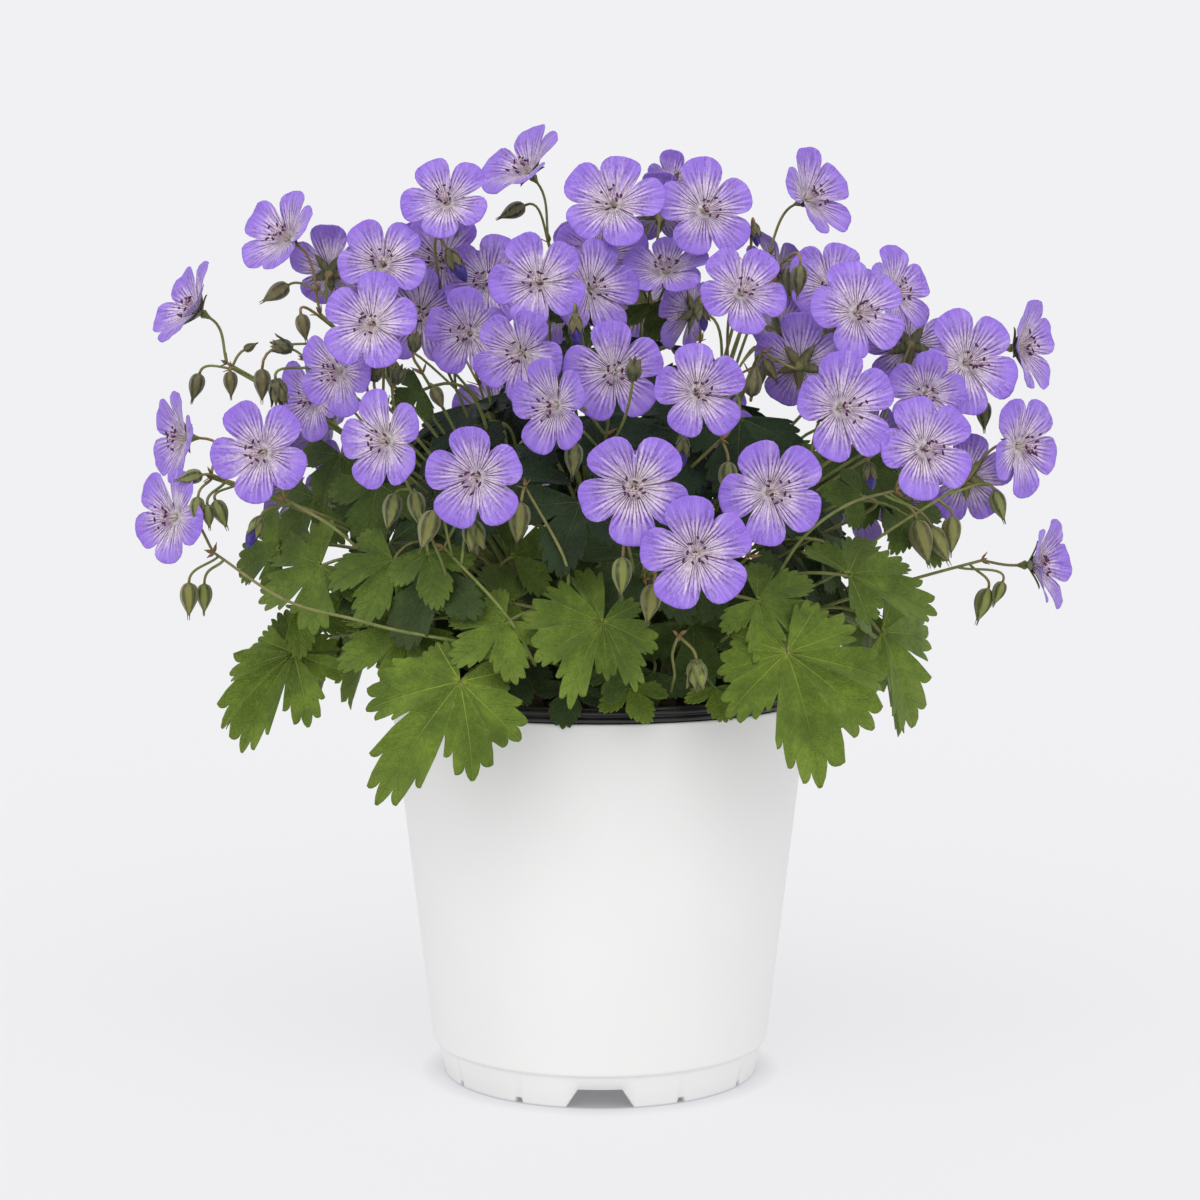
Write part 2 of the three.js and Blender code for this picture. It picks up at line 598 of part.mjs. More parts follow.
// A petiole rises from its shoot and comes to its leaf's junction from behind and below.
function petioleCurve(start, junction, lobeWay, out) {
  const pull = petiolePull * start.distanceTo(junction);
  const first = partWay(start, junction, 0.35, 0.75);
  const second = junction.clone().addScaledVector(lobeWay, -pull).addScaledVector(out, -0.2 * pull);
  return new THREE.CubicBezierCurve3(start, first, second, junction);
}

const rearSprays = rearTiers.flatMap((tier, tierIndex) => Array.from({ length: tier.sprays }, (_, n) => {
  const degrees = between(tier.from, tier.to, (n + 0.5) / tier.sprays);
  const angle = radians(degrees);
  const around = (radius, height, onwards = 0) => (
    [radius * Math.cos(angle + onwards), radius * Math.sin(angle + onwards), height]);
  const share = spread(3 * n + 5 * tierIndex);
  const middle = vec(around(tier.radius, tier.height + rearScatter * (share - 0.5)));
  const frame = facing(degrees + 90, tier.tilt);
  const ownBlooms = Array.from({ length: rearBunch.blooms }, (_, b) => {
    const clock = rearBunch.step * (b - (rearBunch.blooms - 1) / 2);
    const place = onFace(frame, middle, clock, rearBunch.radius, 0);
    const across = Math.sin(radians(clock)) * rearBunch.radius;
    const rise = Math.cos(radians(clock)) * rearBunch.radius;
    return [place.x, place.y, place.z, rearBunch.diameter, degrees + 90 + rearBunch.fanOut * across,
      tier.tilt + rearBunch.fanOut * rise, clock + 180 + 180 / petalCount];
  });
  const { inwards, down, turnOn, length } = rearBud;
  const buds = [[...around(tier.radius - inwards, tier.height - down, turnOn), length, 0]];
  return { fork: around(tier.forkRadius, tier.forkHeight), blooms: ownBlooms, buds };
}));

// Leaves in a ring, each a little different from the next, with their middle lobes hanging down.
function leafRing({ count, from, to, radius, height, lobe, tilt }) {
  return Array.from({ length: count }, (_, n) => {
    const degrees = between(from, to, (n + 0.5) / count);
    const off = spread(n + 2) - 0.5;
    const far = radius * (1 + ringScatter.radius * off);
    const clock = 180 + ringScatter.clock * (spread(n + 4) - 0.5);
    return [far * Math.cos(radians(degrees)), far * Math.sin(radians(degrees)), height + ringScatter.height * off,
      lobe * (1 + ringScatter.lobe * off), degrees + 90, tilt + ringScatter.tilt * off, clock];
  });
}

const sprays = [...frontSprays, ...rearSprays];
const blooms = sprays.flatMap((spray) => spray.blooms);
const leaves = [
  ...frontLeaves.map((place) => ({ place, shape: place[3] > 30 ? bigLeaf : midLeaf })),
  ...leafRing(rearLeaves).map((place) => ({ place, shape: midLeaf })),
  ...[...frontSmallLeaves, ...leafRing(innerLeaves), ...leafRing(lowLeaves)].map((place) => (
    { place, shape: smallLeaf })),
];

// Every green piece: the crown that it grows from, a maker that takes an extra width,
// and the bloom that it carries, if any.
const greens = [];
crowns.forEach(([x, y], crown) => {
  const make = (skinWidth) => {
    const height = crownDepth + crownRise;
    const [topRadius, footRound] = [0.8 * crownRadius + skinWidth, crownRadius + skinWidth];
    const stock = new THREE.CylinderGeometry(topRadius, footRound, height, 6);
    stock.rotateX(Math.PI / 2);
    stock.translate(x, y, soilTop - crownDepth + height / 2);
    return solid(stock);
  };
  greens.push({ crown, make });
});
crowns.forEach((_, crown) => {
  const ends = [onTrunk(crown, 0), onTrunk(crown, 1)];
  const way = ends[1].clone().sub(ends[0]).normalize();
  const make = (skinWidth) => {
    const skin = new Skin();
    const side = new THREE.Vector3(1, 0, 0);
    const radii = [trunkRadius + skinWidth, 0.8 * trunkRadius + skinWidth];
    const ring = rodRings(skin, ends, way, side, { radii, sides: 4 });
    skin.closeEnd(ring, ends[1].clone().addScaledVector(way, 1));
    return skin.body();
  };
  greens.push({ crown, make });
});

// Low stems and petioles leave the shoot low, and high ones leave it high.
const branches = [
  ...sprays.map((spray) => ({ spray, height: spray.fork[2], crown: nearestCrown(spray.fork) })),
  ...leaves.map((leaf) => ({ leaf, height: leaf.place[2] - 12, crown: nearestCrown(leaf.place) })),
];
crowns.forEach((_, crown) => {
  const own = branches.filter((branch) => branch.crown === crown).sort((a, b) => a.height - b.height);
  own.forEach((branch, i) => {
    branch.start = onTrunk(crown, (i + 0.5) / own.length);
  });
});

// A spray: the stem runs on into its first bloom or bud, and the others leave it near its end.
const stemSteps = 3;
const stalkSteps = 2;
const stalkSpacing = 5;           // mm along the stem from one stalk to the next
let bloomCount = 0;
for (const { spray, crown, start } of branches.filter((branch) => branch.spray)) {
  const stem = stemCurve(start, vec(spray.fork)).getPoints(stemSteps);
  const backAlongStem = stem[stemSteps - 1].clone().sub(stem[stemSteps]).normalize();
  const heads = [
    ...spray.blooms.map((place) => {
      const { out } = facing(place[4], place[5]);
      const end = vec(place).addScaledVector(out, -calyxDepth);
      bloomCount += 1;
      return { place, end, arriving: out, owner: bloomCount - 1, grow: stalkWithCalyx };
    }),
    ...spray.buds.map((place) => (
      { place, end: vec(place), arriving: hangWay(place[4]), grow: stalkWithBud })),
  ];
  heads.forEach(({ place, end, arriving, owner, grow }, i) => {
    const from = stem[stemSteps].clone().addScaledVector(backAlongStem, stalkSpacing * i);
    const stalk = stalkCurve(from, end, arriving).getPoints(stalkSteps);
    const path = i === 0 ? [...stem, ...stalk.slice(1)] : stalk;
    const firstRadius = i === 0 ? stemRadius : pedicelRadius;
    greens.push({ crown, owner, make: (skinWidth) => grow(path, firstRadius, place, skinWidth) });
  });
}
const petioleSteps = 2;
for (const { leaf, crown, start } of branches.filter((branch) => branch.leaf)) {
  const { place, shape } = leaf;
  const frame = facing(place[4], place[5]);
  const junction = vec(place);
  const lobeWay = onFace(frame, junction, place[6], 1, 0).sub(junction);
  const path = petioleCurve(start, junction, lobeWay, frame.out).getPoints(petioleSteps);
  greens.push({ crown, make: (skinWidth) => leafOnPetiole(path, place, shape, skinWidth) });
}
for (const green of greens) green.body = green.make(0);

// ---- joining what touches ----
// Groups of members, joined wherever two of them meet by the given test.
function joinedGroups(count, meet) {
  const parent = Array.from({ length: count }, (_, i) => i);
  const root = (i) => (parent[i] === i ? i : root(parent[i]));
  for (let i = 0; i < count; i += 1) {
    for (let j = i + 1; j < count; j += 1) {
      if (root(i) !== root(j) && meet(i, j)) parent[root(j)] = root(i);
    }
  }
  const groups = new Map();
  for (let i = 0; i < count; i += 1) {
    if (!groups.has(root(i))) groups.set(root(i), []);
    groups.get(root(i)).push(i);
  }
  return [...groups.values()];
}

function boxesMeet(a, b) {
  const boxA = a.boundingBox();
  const boxB = b.boundingBox();
  return [0, 1, 2].every((k) => boxA.min[k] <= boxB.max[k] && boxB.min[k] <= boxA.max[k]);
}

const overlapVolume = 0.002;
const overlap = (a, b) => boxesMeet(a, b) && a.intersect(b).volume() > overlapVolume;
const largest = (body) => body.decompose().sort((a, b) => b.volume() - a.volume())[0];
const twoDigits = (n) => String(n + 1).padStart(2, '0');

const plant = new THREE.Group();

function addMesh(name, body, material) {
  const mesh = new THREE.Mesh(shown(body), material);
  mesh.name = name;
  plant.add(mesh);
}

addMesh('outer_pot', outerPot(), whitePlastic());
addMesh('liner', liner(), blackPlastic());
addMesh('soil', soil(crowns), darkSoil());

const shoots = crowns.map((_, crown) => (
  Manifold.union(greens.filter((green) => green.crown === crown).map((green) => green.body))));
for (const group of joinedGroups(shoots.length, (i, j) => overlap(shoots[i], shoots[j]))) {
  const body = largest(Manifold.union(group.map((i) => shoots[i])));
  addMesh(`shoots_${group.map((i) => i + 1).join('_')}`, body, leafGreen());
}

// Petals are notched round the stems and leaves that pass through them.
const corollas = blooms.map((bloom, i) => {
  let body = corolla(bloom);
  for (const green of greens) {
    if (green.owner !== i && boxesMeet(green.body, body)) {
      const thick = green.make(clearance);
      if (thick.intersect(body).volume() > 0) body = body.subtract(thick);
    }
  }
  return largest(body);
});
for (const group of joinedGroups(corollas.length, (i, j) => overlap(corollas[i], corollas[j]))) {
  const body = Manifold.union(group.map((i) => corollas[i]));
  addMesh(`bloom_${group.map(twoDigits).join('_')}`, body, petalViolet());
}

export default plant;
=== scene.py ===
import math

import bpy
import numpy as np
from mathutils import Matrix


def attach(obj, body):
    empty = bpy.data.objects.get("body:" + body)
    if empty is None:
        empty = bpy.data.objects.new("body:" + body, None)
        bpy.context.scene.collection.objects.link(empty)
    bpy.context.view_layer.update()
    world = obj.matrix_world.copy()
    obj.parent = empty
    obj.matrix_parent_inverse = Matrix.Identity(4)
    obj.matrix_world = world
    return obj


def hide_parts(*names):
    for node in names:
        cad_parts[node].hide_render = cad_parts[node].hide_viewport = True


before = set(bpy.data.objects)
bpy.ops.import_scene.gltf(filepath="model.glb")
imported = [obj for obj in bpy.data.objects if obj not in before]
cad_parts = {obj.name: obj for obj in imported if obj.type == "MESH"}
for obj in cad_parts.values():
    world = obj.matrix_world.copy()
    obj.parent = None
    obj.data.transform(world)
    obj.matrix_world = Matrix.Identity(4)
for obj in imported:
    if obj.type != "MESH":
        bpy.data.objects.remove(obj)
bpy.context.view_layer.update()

# A hardy geranium in flower in a white pot. Places and sizes are in millimetres, and become metres
# when a mesh is made. +Z is up, the front looks along -Y and +X is to the right.
metresPerMm = 0.001
goldenSection = 0.618034
axisRadius = 0.5         # turned outlines start and end this far from the axis, where a point closes them


def between(first, last, share):
    return first + (last - first) * share


# 0 below low, 1 above high, and 3t^2 - 2t^3 between them.
def eased(low, high, value):
    t = np.clip((value - low) / (high - low), 0, 1)
    return t * t * (3 - 2 * t)


def unit(v):
    return v / np.maximum(np.linalg.norm(v, axis=-1, keepdims=True), 1e-9)


# An even scatter of shares between 0 and 1: the fraction of n times the golden section.
def spread(n):
    return (n * goldenSection) % 1


# Even angles once round.
def roundAngles(count):
    return np.linspace(0, 2 * math.pi, count, endpoint=False)


# Three numbers for each point, from numbers and arrays that fit each other.
def triples(a, b, c):
    return np.stack(np.broadcast_arrays(a, b, c), axis=-1)


# The way out from an axis at an angle round it: cos * side + sin * other.
def wayOut(side, other, angle):
    return np.cos(angle)[..., None] * side + np.sin(angle)[..., None] * other


# The way a bloom or a leaf faces: out of its face, up on its face, and right on its face.
# out = (sin turn cos tilt, -cos turn cos tilt, sin tilt), top is +Z made square to it.
def facing(turn, tilt):
    a, e = math.radians(turn), math.radians(tilt)
    out = np.array([math.sin(a) * math.cos(e), -math.cos(a) * math.cos(e), math.sin(e)])
    top = unit(np.array([0, 0, 1]) - out * out[2])
    return out, top, np.cross(top, out)


# Points on a face by clock angle, distance from the middle and height above the face.
def onFace(face, middle, clock, distance, height):
    out, top, right = face
    angle = np.radians(clock)
    up, aside = np.cos(angle) * distance, np.sin(angle) * distance
    return middle + up[..., None] * top + aside[..., None] * right + np.asarray(height)[..., None] * out


def clockWay(face, clock):
    return onFace(face, np.zeros(3), np.float64(clock), 1.0, 0.0)


# A cubic Bezier curve through count + 1 even steps.
def bezier(controls, count):
    t = np.linspace(0, 1, count + 1)[:, None]
    a, b, c, d = controls
    return a * (1 - t) ** 3 + 3 * b * (1 - t) ** 2 * t + 3 * c * (1 - t) * t ** 2 + d * t ** 3


# The corners of a grid's quads. Points follow each other row by row.
def gridFaces(rows, columns, closed=False):
    i = np.arange(rows - 1)[:, None]
    j = np.arange(columns if closed else columns - 1)[None, :]
    k = (j + 1) % columns
    quad = [i * columns + j, i * columns + k, (i + 1) * columns + k, (i + 1) * columns + j]
    return np.stack(quad, axis=-1).reshape(-1, 4)


# Six times the volume inside the faces: the sum of a . (b x c) over their triangles.
def sixVolumes(points, faces):
    total = 0
    for corners in faces:
        a = points[corners[:, 0]]
        for n in range(1, corners.shape[1] - 1):
            b, c = points[corners[:, n]], points[corners[:, n + 1]]
            total += np.sum(a * np.cross(b, c))
    return total


# One closed form with its pattern values, turned right side out.
def form(points, faces, pattern, material=0):
    if sixVolumes(points - points.mean(axis=0), faces) < 0:
        faces = [corners[:, ::-1] for corners in faces]
    pattern = np.broadcast_to(np.asarray(pattern, dtype=float), (len(points), 3))
    return dict(points=points, faces=faces, pattern=pattern, material=material)


# A thin closed sheet: each point of the grid goes half the thickness to both sides along the normal.
def sheet(grid, thickness, pattern, material=0):
    rows, columns = grid.shape[:2]
    normal = unit(np.cross(np.gradient(grid, axis=0), np.gradient(grid, axis=1)))
    shift = 0.5 * np.asarray(thickness)[..., None] * normal
    points = np.concatenate([(grid + shift).reshape(-1, 3), (grid - shift).reshape(-1, 3)])
    count = rows * columns
    index = np.arange(count).reshape(rows, columns)
    border = np.concatenate([index[0], index[1:, -1], index[-1, -2::-1], index[-2:0:-1, 0]])
    after = np.roll(border, -1)
    quads = gridFaces(rows, columns)
    edge = np.stack([after, border, border + count, after + count], axis=-1)
    flat = np.asarray(pattern).reshape(-1, 3)
    return form(points, [quads, quads[:, ::-1] + count, edge], np.concatenate([flat, flat]), material)


# Rings of points joined one to the next, and closed at both ends by a point.
def capped(rings, first, last, pattern, material=0):
    rows, columns = rings.shape[:2]
    count = rows * columns
    j = np.arange(columns)
    k = (j + 1) % columns
    start = np.stack([np.full(columns, count), k, j], axis=-1)
    end = np.stack([np.full(columns, count + 1), count - columns + j, count - columns + k], axis=-1)
    points = np.concatenate([rings.reshape(-1, 3), [first], [last]])
    if np.ndim(pattern) > 1:
        flat = pattern.reshape(-1, 3)
        pattern = np.concatenate([flat, flat[:1], flat[-1:]])
    return form(points, [gridFaces(rows, columns, True), start, end], pattern, material)


# A round rod along a path: rings of the given radii, square to the path. Their first points lie in
# the way in which the path bends least. Pattern: share of the length, tint, seed.
def rod(path, radii, sides, tint=0.0, seed=0.0, material=0):
    tangent = unit(np.gradient(path, axis=0))
    side = np.linalg.svd(path - path.mean(axis=0))[2][2]
    across = unit(side - (tangent @ side)[:, None] * tangent)
    other = np.cross(tangent, across)
    radii = np.broadcast_to(radii, len(path))[:, None, None]
    rings = path[:, None] + radii * wayOut(across[:, None], other[:, None], roundAngles(sides)[None, :])
    share = np.linspace(0, 1, len(path))[:, None]
    return capped(rings, path[0], path[-1], triples(share, tint, np.full((1, sides), seed)), material)


# A round body: an outline of [radius, height] points carried round the axis through the angles.
def turned(outline, angles, first, last, lift=0.0):
    radius, height = outline[:, 0, None], outline[:, 1, None] + lift
    rings = triples(radius * np.cos(angles), radius * np.sin(angles), height)
    return capped(rings, [0, 0, first], [0, 0, last], (0, 0, 0))


# The outline with a small curve in place of each corner, a quadratic Bezier curve. Both ends stay.
def rounded(outline, radius, steps=4):
    outline = np.array(outline, dtype=float)
    longest = 0.45                                     # of the stretch to the next corner
    result = [outline[:1]]
    for before, corner, after in zip(outline, outline[1:], outline[2:]):
        back, on = before - corner, after - corner
        a = corner + back * min(radius / np.linalg.norm(back), longest)
        b = corner + on * min(radius / np.linalg.norm(on), longest)
        t = np.linspace(0, 1, steps + 1)[:, None]
        result.append(a * (1 - t) ** 2 + 2 * corner * (1 - t) * t + b * t ** 2)
    return np.concatenate(result + [outline[-1:]])


# Puts forms into one mesh object, which rides on the body and stands for the given nodes.
def makePiece(name, forms, materials, nodes):
    points = np.concatenate([f["points"] for f in forms])
    offsets = np.cumsum([0] + [len(f["points"]) for f in forms])
    faces = [(corners + offset, f["material"]) for f, offset in zip(forms, offsets) for corners in f["faces"]]
    corners = np.concatenate([c.ravel() for c, _ in faces])
    sizes = np.concatenate([np.full(len(c), c.shape[1]) for c, _ in faces])
    mesh = bpy.data.meshes.new(name)
    mesh.vertices.add(len(points))
    mesh.vertices.foreach_set("co", (points * metresPerMm).astype(np.float32).ravel())
    mesh.loops.add(len(corners))
    mesh.loops.foreach_set("vertex_index", corners.astype(np.int32))
    mesh.polygons.add(len(sizes))
    mesh.polygons.foreach_set("loop_start", (np.cumsum(sizes) - sizes).astype(np.int32))
    materialNumbers = np.concatenate([np.full(len(c), m) for c, m in faces])
    mesh.polygons.foreach_set("material_index", materialNumbers.astype(np.int32))
    mesh.polygons.foreach_set("use_smooth", np.ones(len(sizes), dtype=bool))
    pattern = mesh.attributes.new("pattern", "FLOAT_VECTOR", "POINT")
    values = np.concatenate([f["pattern"] for f in forms]).astype(np.float32)
    pattern.data.foreach_set("vector", values.ravel())
    mesh.update(calc_edges=True)
    for material in materials:
        mesh.materials.append(material)
    piece = bpy.data.objects.new(name, mesh)
    bpy.context.scene.collection.objects.link(piece)
    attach(piece, "root")
    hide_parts(*nodes)
    return piece


# Screen colours from 0 to 255 as linear light.
def colour(red, green, blue):
    v = np.array([red, green, blue]) / 255
    linear = np.where(v <= 0.04045, v / 12.92, ((v + 0.055) / 1.055) ** 2.4)
    return (*linear.tolist(), 1.0)


def colours(**shades):
    return {name: colour(*shade) for name, shade in shades.items()}


# A number or colour that a material works out at each point. Sums and products of such values make
# the nodes that work them out.
class Value:
    def __init__(self, paint, socket):
        self.paint = paint
        self.socket = socket

    def __add__(self, other):
        return self.paint.maths("ADD", self, other)

    def __sub__(self, other):
        return self.paint.maths("SUBTRACT", self, other)

    def __rsub__(self, other):
        return self.paint.maths("SUBTRACT", other, self)

    def __mul__(self, other):
        return self.paint.maths("MULTIPLY", self, other)

    def __truediv__(self, other):
        return self.paint.maths("DIVIDE", self, other)

    def __abs__(self):
        return self.paint.maths("ABSOLUTE", self)


# A material, and short calls that make its nodes.
class Paint:
    def __init__(self, name, roughness, **settings):
        self.material = bpy.data.materials.new(name)
        self.material.use_nodes = True
        self.tree = self.material.node_tree
        self.shader = self.tree.nodes["Principled BSDF"]
        self.shader.inputs["Roughness"].default_value = roughness
        for socket, value in settings.items():
            self.shader.inputs[socket].default_value = value

    def feed(self, socket, value):
        if isinstance(value, Value):
            self.tree.links.new(value.socket, socket)
        else:
            socket.default_value = value

    def node(self, kind, inputs, **settings):
        node = self.tree.nodes.new(kind)
        for key, value in settings.items():
            setattr(node, key, value)
        for key, value in inputs.items():
            self.feed(node.inputs[key], value)
        return node

    def value(self, kind, inputs, output=0, **settings):
        return Value(self, self.node(kind, inputs, **settings).outputs[output])

    def maths(self, operation, a, b=0.0):
        return self.value("ShaderNodeMath", {0: a, 1: b}, operation=operation)

    def highest(self, first, *others):
        for other in others:
            first = self.maths("MAXIMUM", first, other)
        return first

    # 0 where the value is low or less, and top where it is high or more, eased between.
    def rise(self, value, low, high, top=1.0):
        inputs = {"Value": value, "From Min": low, "From Max": high, "To Min": 0.0, "To Max": top}
        return self.value("ShaderNodeMapRange", inputs, interpolation_type="SMOOTHSTEP")

    # 1 where the value is low or less, and depth less than that where it is high or more.
    def fall(self, value, low, high, depth=1.0):
        return 1.0 - self.rise(value, low, high, depth)

    def mix(self, share, a, b, blend="MIX"):
        inputs = {"Factor": share, 6: a, 7: b}
        return self.value("ShaderNodeMix", inputs, 2, data_type="RGBA", blend_type=blend)

    def ramp(self, value, stops):
        node = self.node("ShaderNodeValToRGB", {"Fac": value})
        steps = node.color_ramp.elements
        for _ in stops[2:]:
            steps.new(0.5)
        for step, (position, shade) in zip(steps, stops):
            step.position = position
            step.color = shade
        return Value(self, node.outputs[0])

    def place(self, scale=(1.0, 1.0, 1.0)):
        where = self.value("ShaderNodeTexCoord", {}, "Object")
        return self.value("ShaderNodeMapping", {"Vector": where, "Scale": scale})

    def noise(self, where, scale, detail=2.0, rough=0.5):
        inputs = {"Vector": where, "Scale": scale, "Detail": detail, "Roughness": rough}
        return self.value("ShaderNodeTexNoise", inputs, "Fac")

    def parts(self, vector):
        return [Value(self, socket) for socket in self.node("ShaderNodeSeparateXYZ", {0: vector}).outputs]

    def pattern(self):
        return self.parts(self.value("ShaderNodeAttribute", {}, "Vector", attribute_name="pattern"))

    def vector(self, x, y, z):
        return self.value("ShaderNodeCombineXYZ", {0: x, 1: y, 2: z})

    # Sets the base colour, and a bump from a height that is 1 at the given size in metres.
    def cover(self, shade, height=None, size=0.0, roughness=None):
        self.feed(self.shader.inputs["Base Color"], shade)
        if height is not None:
            bump = self.value("ShaderNodeBump", {"Height": height, "Strength": 1.0, "Distance": size})
            self.feed(self.shader.inputs["Normal"], bump)
        if roughness is not None:
            self.feed(self.shader.inputs["Roughness"], roughness)
        return self.material


# The white pot: a tapered wall with a step in above a foot ring that has notches, and a raised floor.
pot = dict(
    height=150, topRadius=82.5, wall=1.8, edgeRound=1.2, angles=144,
    stepRadius=66.6, stepHeight=13, stepDrop=0.2, stepRise=0.7,
    footRadius=65.0, footBottomRadius=62.0, footInnerRadius=58.6, footFloor=9.6, floorTop=12,
    drains=4, drainRadius=5, drainRing=34, drainSides=32, drainPast=3,
    notchStep=30, bigNotchStep=90,                     # degrees
    bigNotch=dict(top=17, bottom=26.5, height=7.3), smallNotch=dict(top=2.4, bottom=3.8, height=2),
)
# The inner pot hangs in the white one by its lip.
liner = dict(
    wall=1.2, floorTop=13.8, gap=0.45, rest=0.35, edgeRound=0.7, angles=160, lipTop=156, ridge=0.9,
    # the outside of the lip: ridges inwards from the pot's top radius, and share of the lip's height
    lip=[(0.5, 0), (0, 0.12), (0, 0.26), (1, 0.36), (1, 0.46), (0.2, 0.56), (0.2, 0.72), (1.1, 0.84),
         (1.3, 1)],
)
soil = dict(
    top=143, crown=2, highest=4, edgeDrop=1.6, edgeWidth=6, edgeMargin=0.4, angles=150, rings=48, sideRings=4,
    mounds=dict(waves=40, shortest=12.0, longest=50.0, height=1.3),
    crumbs=dict(waves=90, shortest=2.5, longest=9.0, height=1.5),
    lumps=260, lumpSize=(0.7, 2.2), lumpStretch=(0.8, 1.7), lumpRise=1.9, lumpMargin=3,
)


# Satin plastic with a faint orange-peel and turning lines.
def whiteFinish():
    shades = colours(light=(237, 237, 235), dull=(228, 228, 226))
    p = Paint("pot white", 0.36, **{"Coat Weight": 0.12, "Coat Roughness": 0.25})
    where = p.place()
    cloud = p.noise(where, 9.0, 3.0)
    tone = p.mix(p.rise(cloud, 0.3, 0.75, 0.5), shades["light"], shades["dull"])
    lines = p.noise(p.place((0.02, 0.02, 1.0)), 900.0)
    peel = p.noise(where, 650.0)
    return p.cover(tone, peel * 0.6 + lines * 0.4, 0.00003, cloud * 0.1 + 0.33)


# Black plastic with patches of dust, which are lighter and duller.
def blackFinish():
    shades = colours(black=(30, 29, 29), dust=(62, 58, 54))
    p = Paint("inner pot black", 0.4)
    where = p.place()
    dust = p.rise(p.noise(where, 90.0, 4.0), 0.45, 0.8, 0.4)
    return p.cover(p.mix(dust, shades["black"], shades["dust"]), p.noise(where, 700.0, 3.0), 0.00006,
                   dust * 0.5 + 0.34)


# Dark crumbs with flecks of bark.
def soilFinish():
    shades = colours(dark=(26, 19, 15), brown=(64, 48, 36), bark=(104, 80, 58))
    p = Paint("soil dark", 0.95, **{"Specular IOR Level": 0.2})
    where = p.place()
    clods = p.noise(where, 160.0, 5.0, 0.7)
    bark = p.rise(p.noise(where, 420.0), 0.58, 0.72)
    tone = p.mix(p.rise(clods, 0.35, 0.7), shades["dark"], shades["brown"])
    return p.cover(p.mix(bark * 0.6, tone, shades["bark"]), clods, 0.002)


# The radius of the white pot's inner face at a height.
def wallRadius(z):
    share = (z - pot["stepHeight"]) / (pot["height"] - pot["stepHeight"])
    return between(pot["stepRadius"], pot["topRadius"], share) - pot["wall"]


# The foot's notches as pairs of degrees round the pot and sizes: small ones between the big ones.
def footNotches():
    return [(degrees, pot["smallNotch"] if degrees % pot["bigNotchStep"] else pot["bigNotch"])
            for degrees in range(0, 360, pot["notchStep"])]


# How far the foot's lower edge is lifted by the notches, each of which is a trapezium.
def notchLift(angles):
    degrees = np.degrees(angles) + 90
    lift = np.zeros(len(angles))
    for offset, notch in footNotches():
        away = np.abs((degrees - offset + 180) % 360 - 180)
        x = np.radians(away) * pot["footBottomRadius"]
        ramp = (0.5 * notch["bottom"] - x) / (0.5 * (notch["bottom"] - notch["top"]))
        lift = np.maximum(lift, notch["height"] * np.clip(ramp, 0, 1))
    return lift


# Angles round the pot: even steps, and one on each corner of a notch.
def potAngles():
    degrees = [np.linspace(0, 360, pot["angles"], endpoint=False)]
    for offset, notch in footNotches():
        for width in (notch["top"], notch["bottom"]):
            corner = math.degrees(0.5 * width / pot["footBottomRadius"])
            degrees.append(np.array([offset - corner, offset + corner]) % 360)
    return np.radians(np.unique(np.round(np.concatenate(degrees), 4))) - 0.5 * math.pi


# The outline goes from the floor's underside round the foot and over the rim to the floor's top. The
# notches lift its points by a share that falls from 1 at the ground to 0 at the floor's underside.
def makePot():
    angles = potAngles()
    outline = rounded([
        [axisRadius, pot["footFloor"]], [pot["footInnerRadius"], pot["footFloor"]],
        [pot["footInnerRadius"], 0], [pot["footBottomRadius"], 0],
        [pot["footRadius"], pot["stepHeight"] - pot["stepDrop"]],
        [pot["stepRadius"], pot["stepHeight"] + pot["stepRise"]], [pot["topRadius"], pot["height"]],
        [pot["topRadius"] - pot["wall"], pot["height"]], [wallRadius(pot["floorTop"]), pot["floorTop"]],
        [axisRadius, pot["floorTop"]],
    ], pot["edgeRound"])
    lift = np.clip(1 - outline[:, 1, None] / pot["footFloor"], 0, 1) * notchLift(angles)[None, :]
    shell = turned(outline, angles, pot["footFloor"], pot["floorTop"], lift)
    piece = makePiece("pot_shell", [shell], [whiteFinish()], ["outer_pot"])
    cutDrains(piece)


# Cuts the drain holes, round rods in a ring, through the floor, and keeps the result as the piece's mesh.
def cutDrains(piece):
    drills = []
    for i in range(pot["drains"]):
        angle = 2 * math.pi * (i + 0.5) / pot["drains"]
        x, y = pot["drainRing"] * math.cos(angle), pot["drainRing"] * math.sin(angle)
        z = np.linspace(pot["footFloor"] - pot["drainPast"], pot["floorTop"] + pot["drainPast"], 4)
        tube = rod(triples(x, y, z), pot["drainRadius"], pot["drainSides"])
        mesh = bpy.data.meshes.new("drill")
        faces = [corners for group in tube["faces"] for corners in group.tolist()]
        mesh.from_pydata((tube["points"] * metresPerMm).tolist(), [], faces)
        drill = bpy.data.objects.new("drill", mesh)
        bpy.context.scene.collection.objects.link(drill)
        drills.append(drill)
        cut = piece.modifiers.new("drain", "BOOLEAN")
        cut.operation = "DIFFERENCE"
        cut.object = drill
    whole = bpy.data.meshes.new_from_object(piece.evaluated_get(bpy.context.evaluated_depsgraph_get()))
    piece.modifiers.clear()
    whole.set_sharp_from_angle(angle=math.radians(35))
    piece.data = whole
    for drill in drills:
        bpy.data.objects.remove(drill)


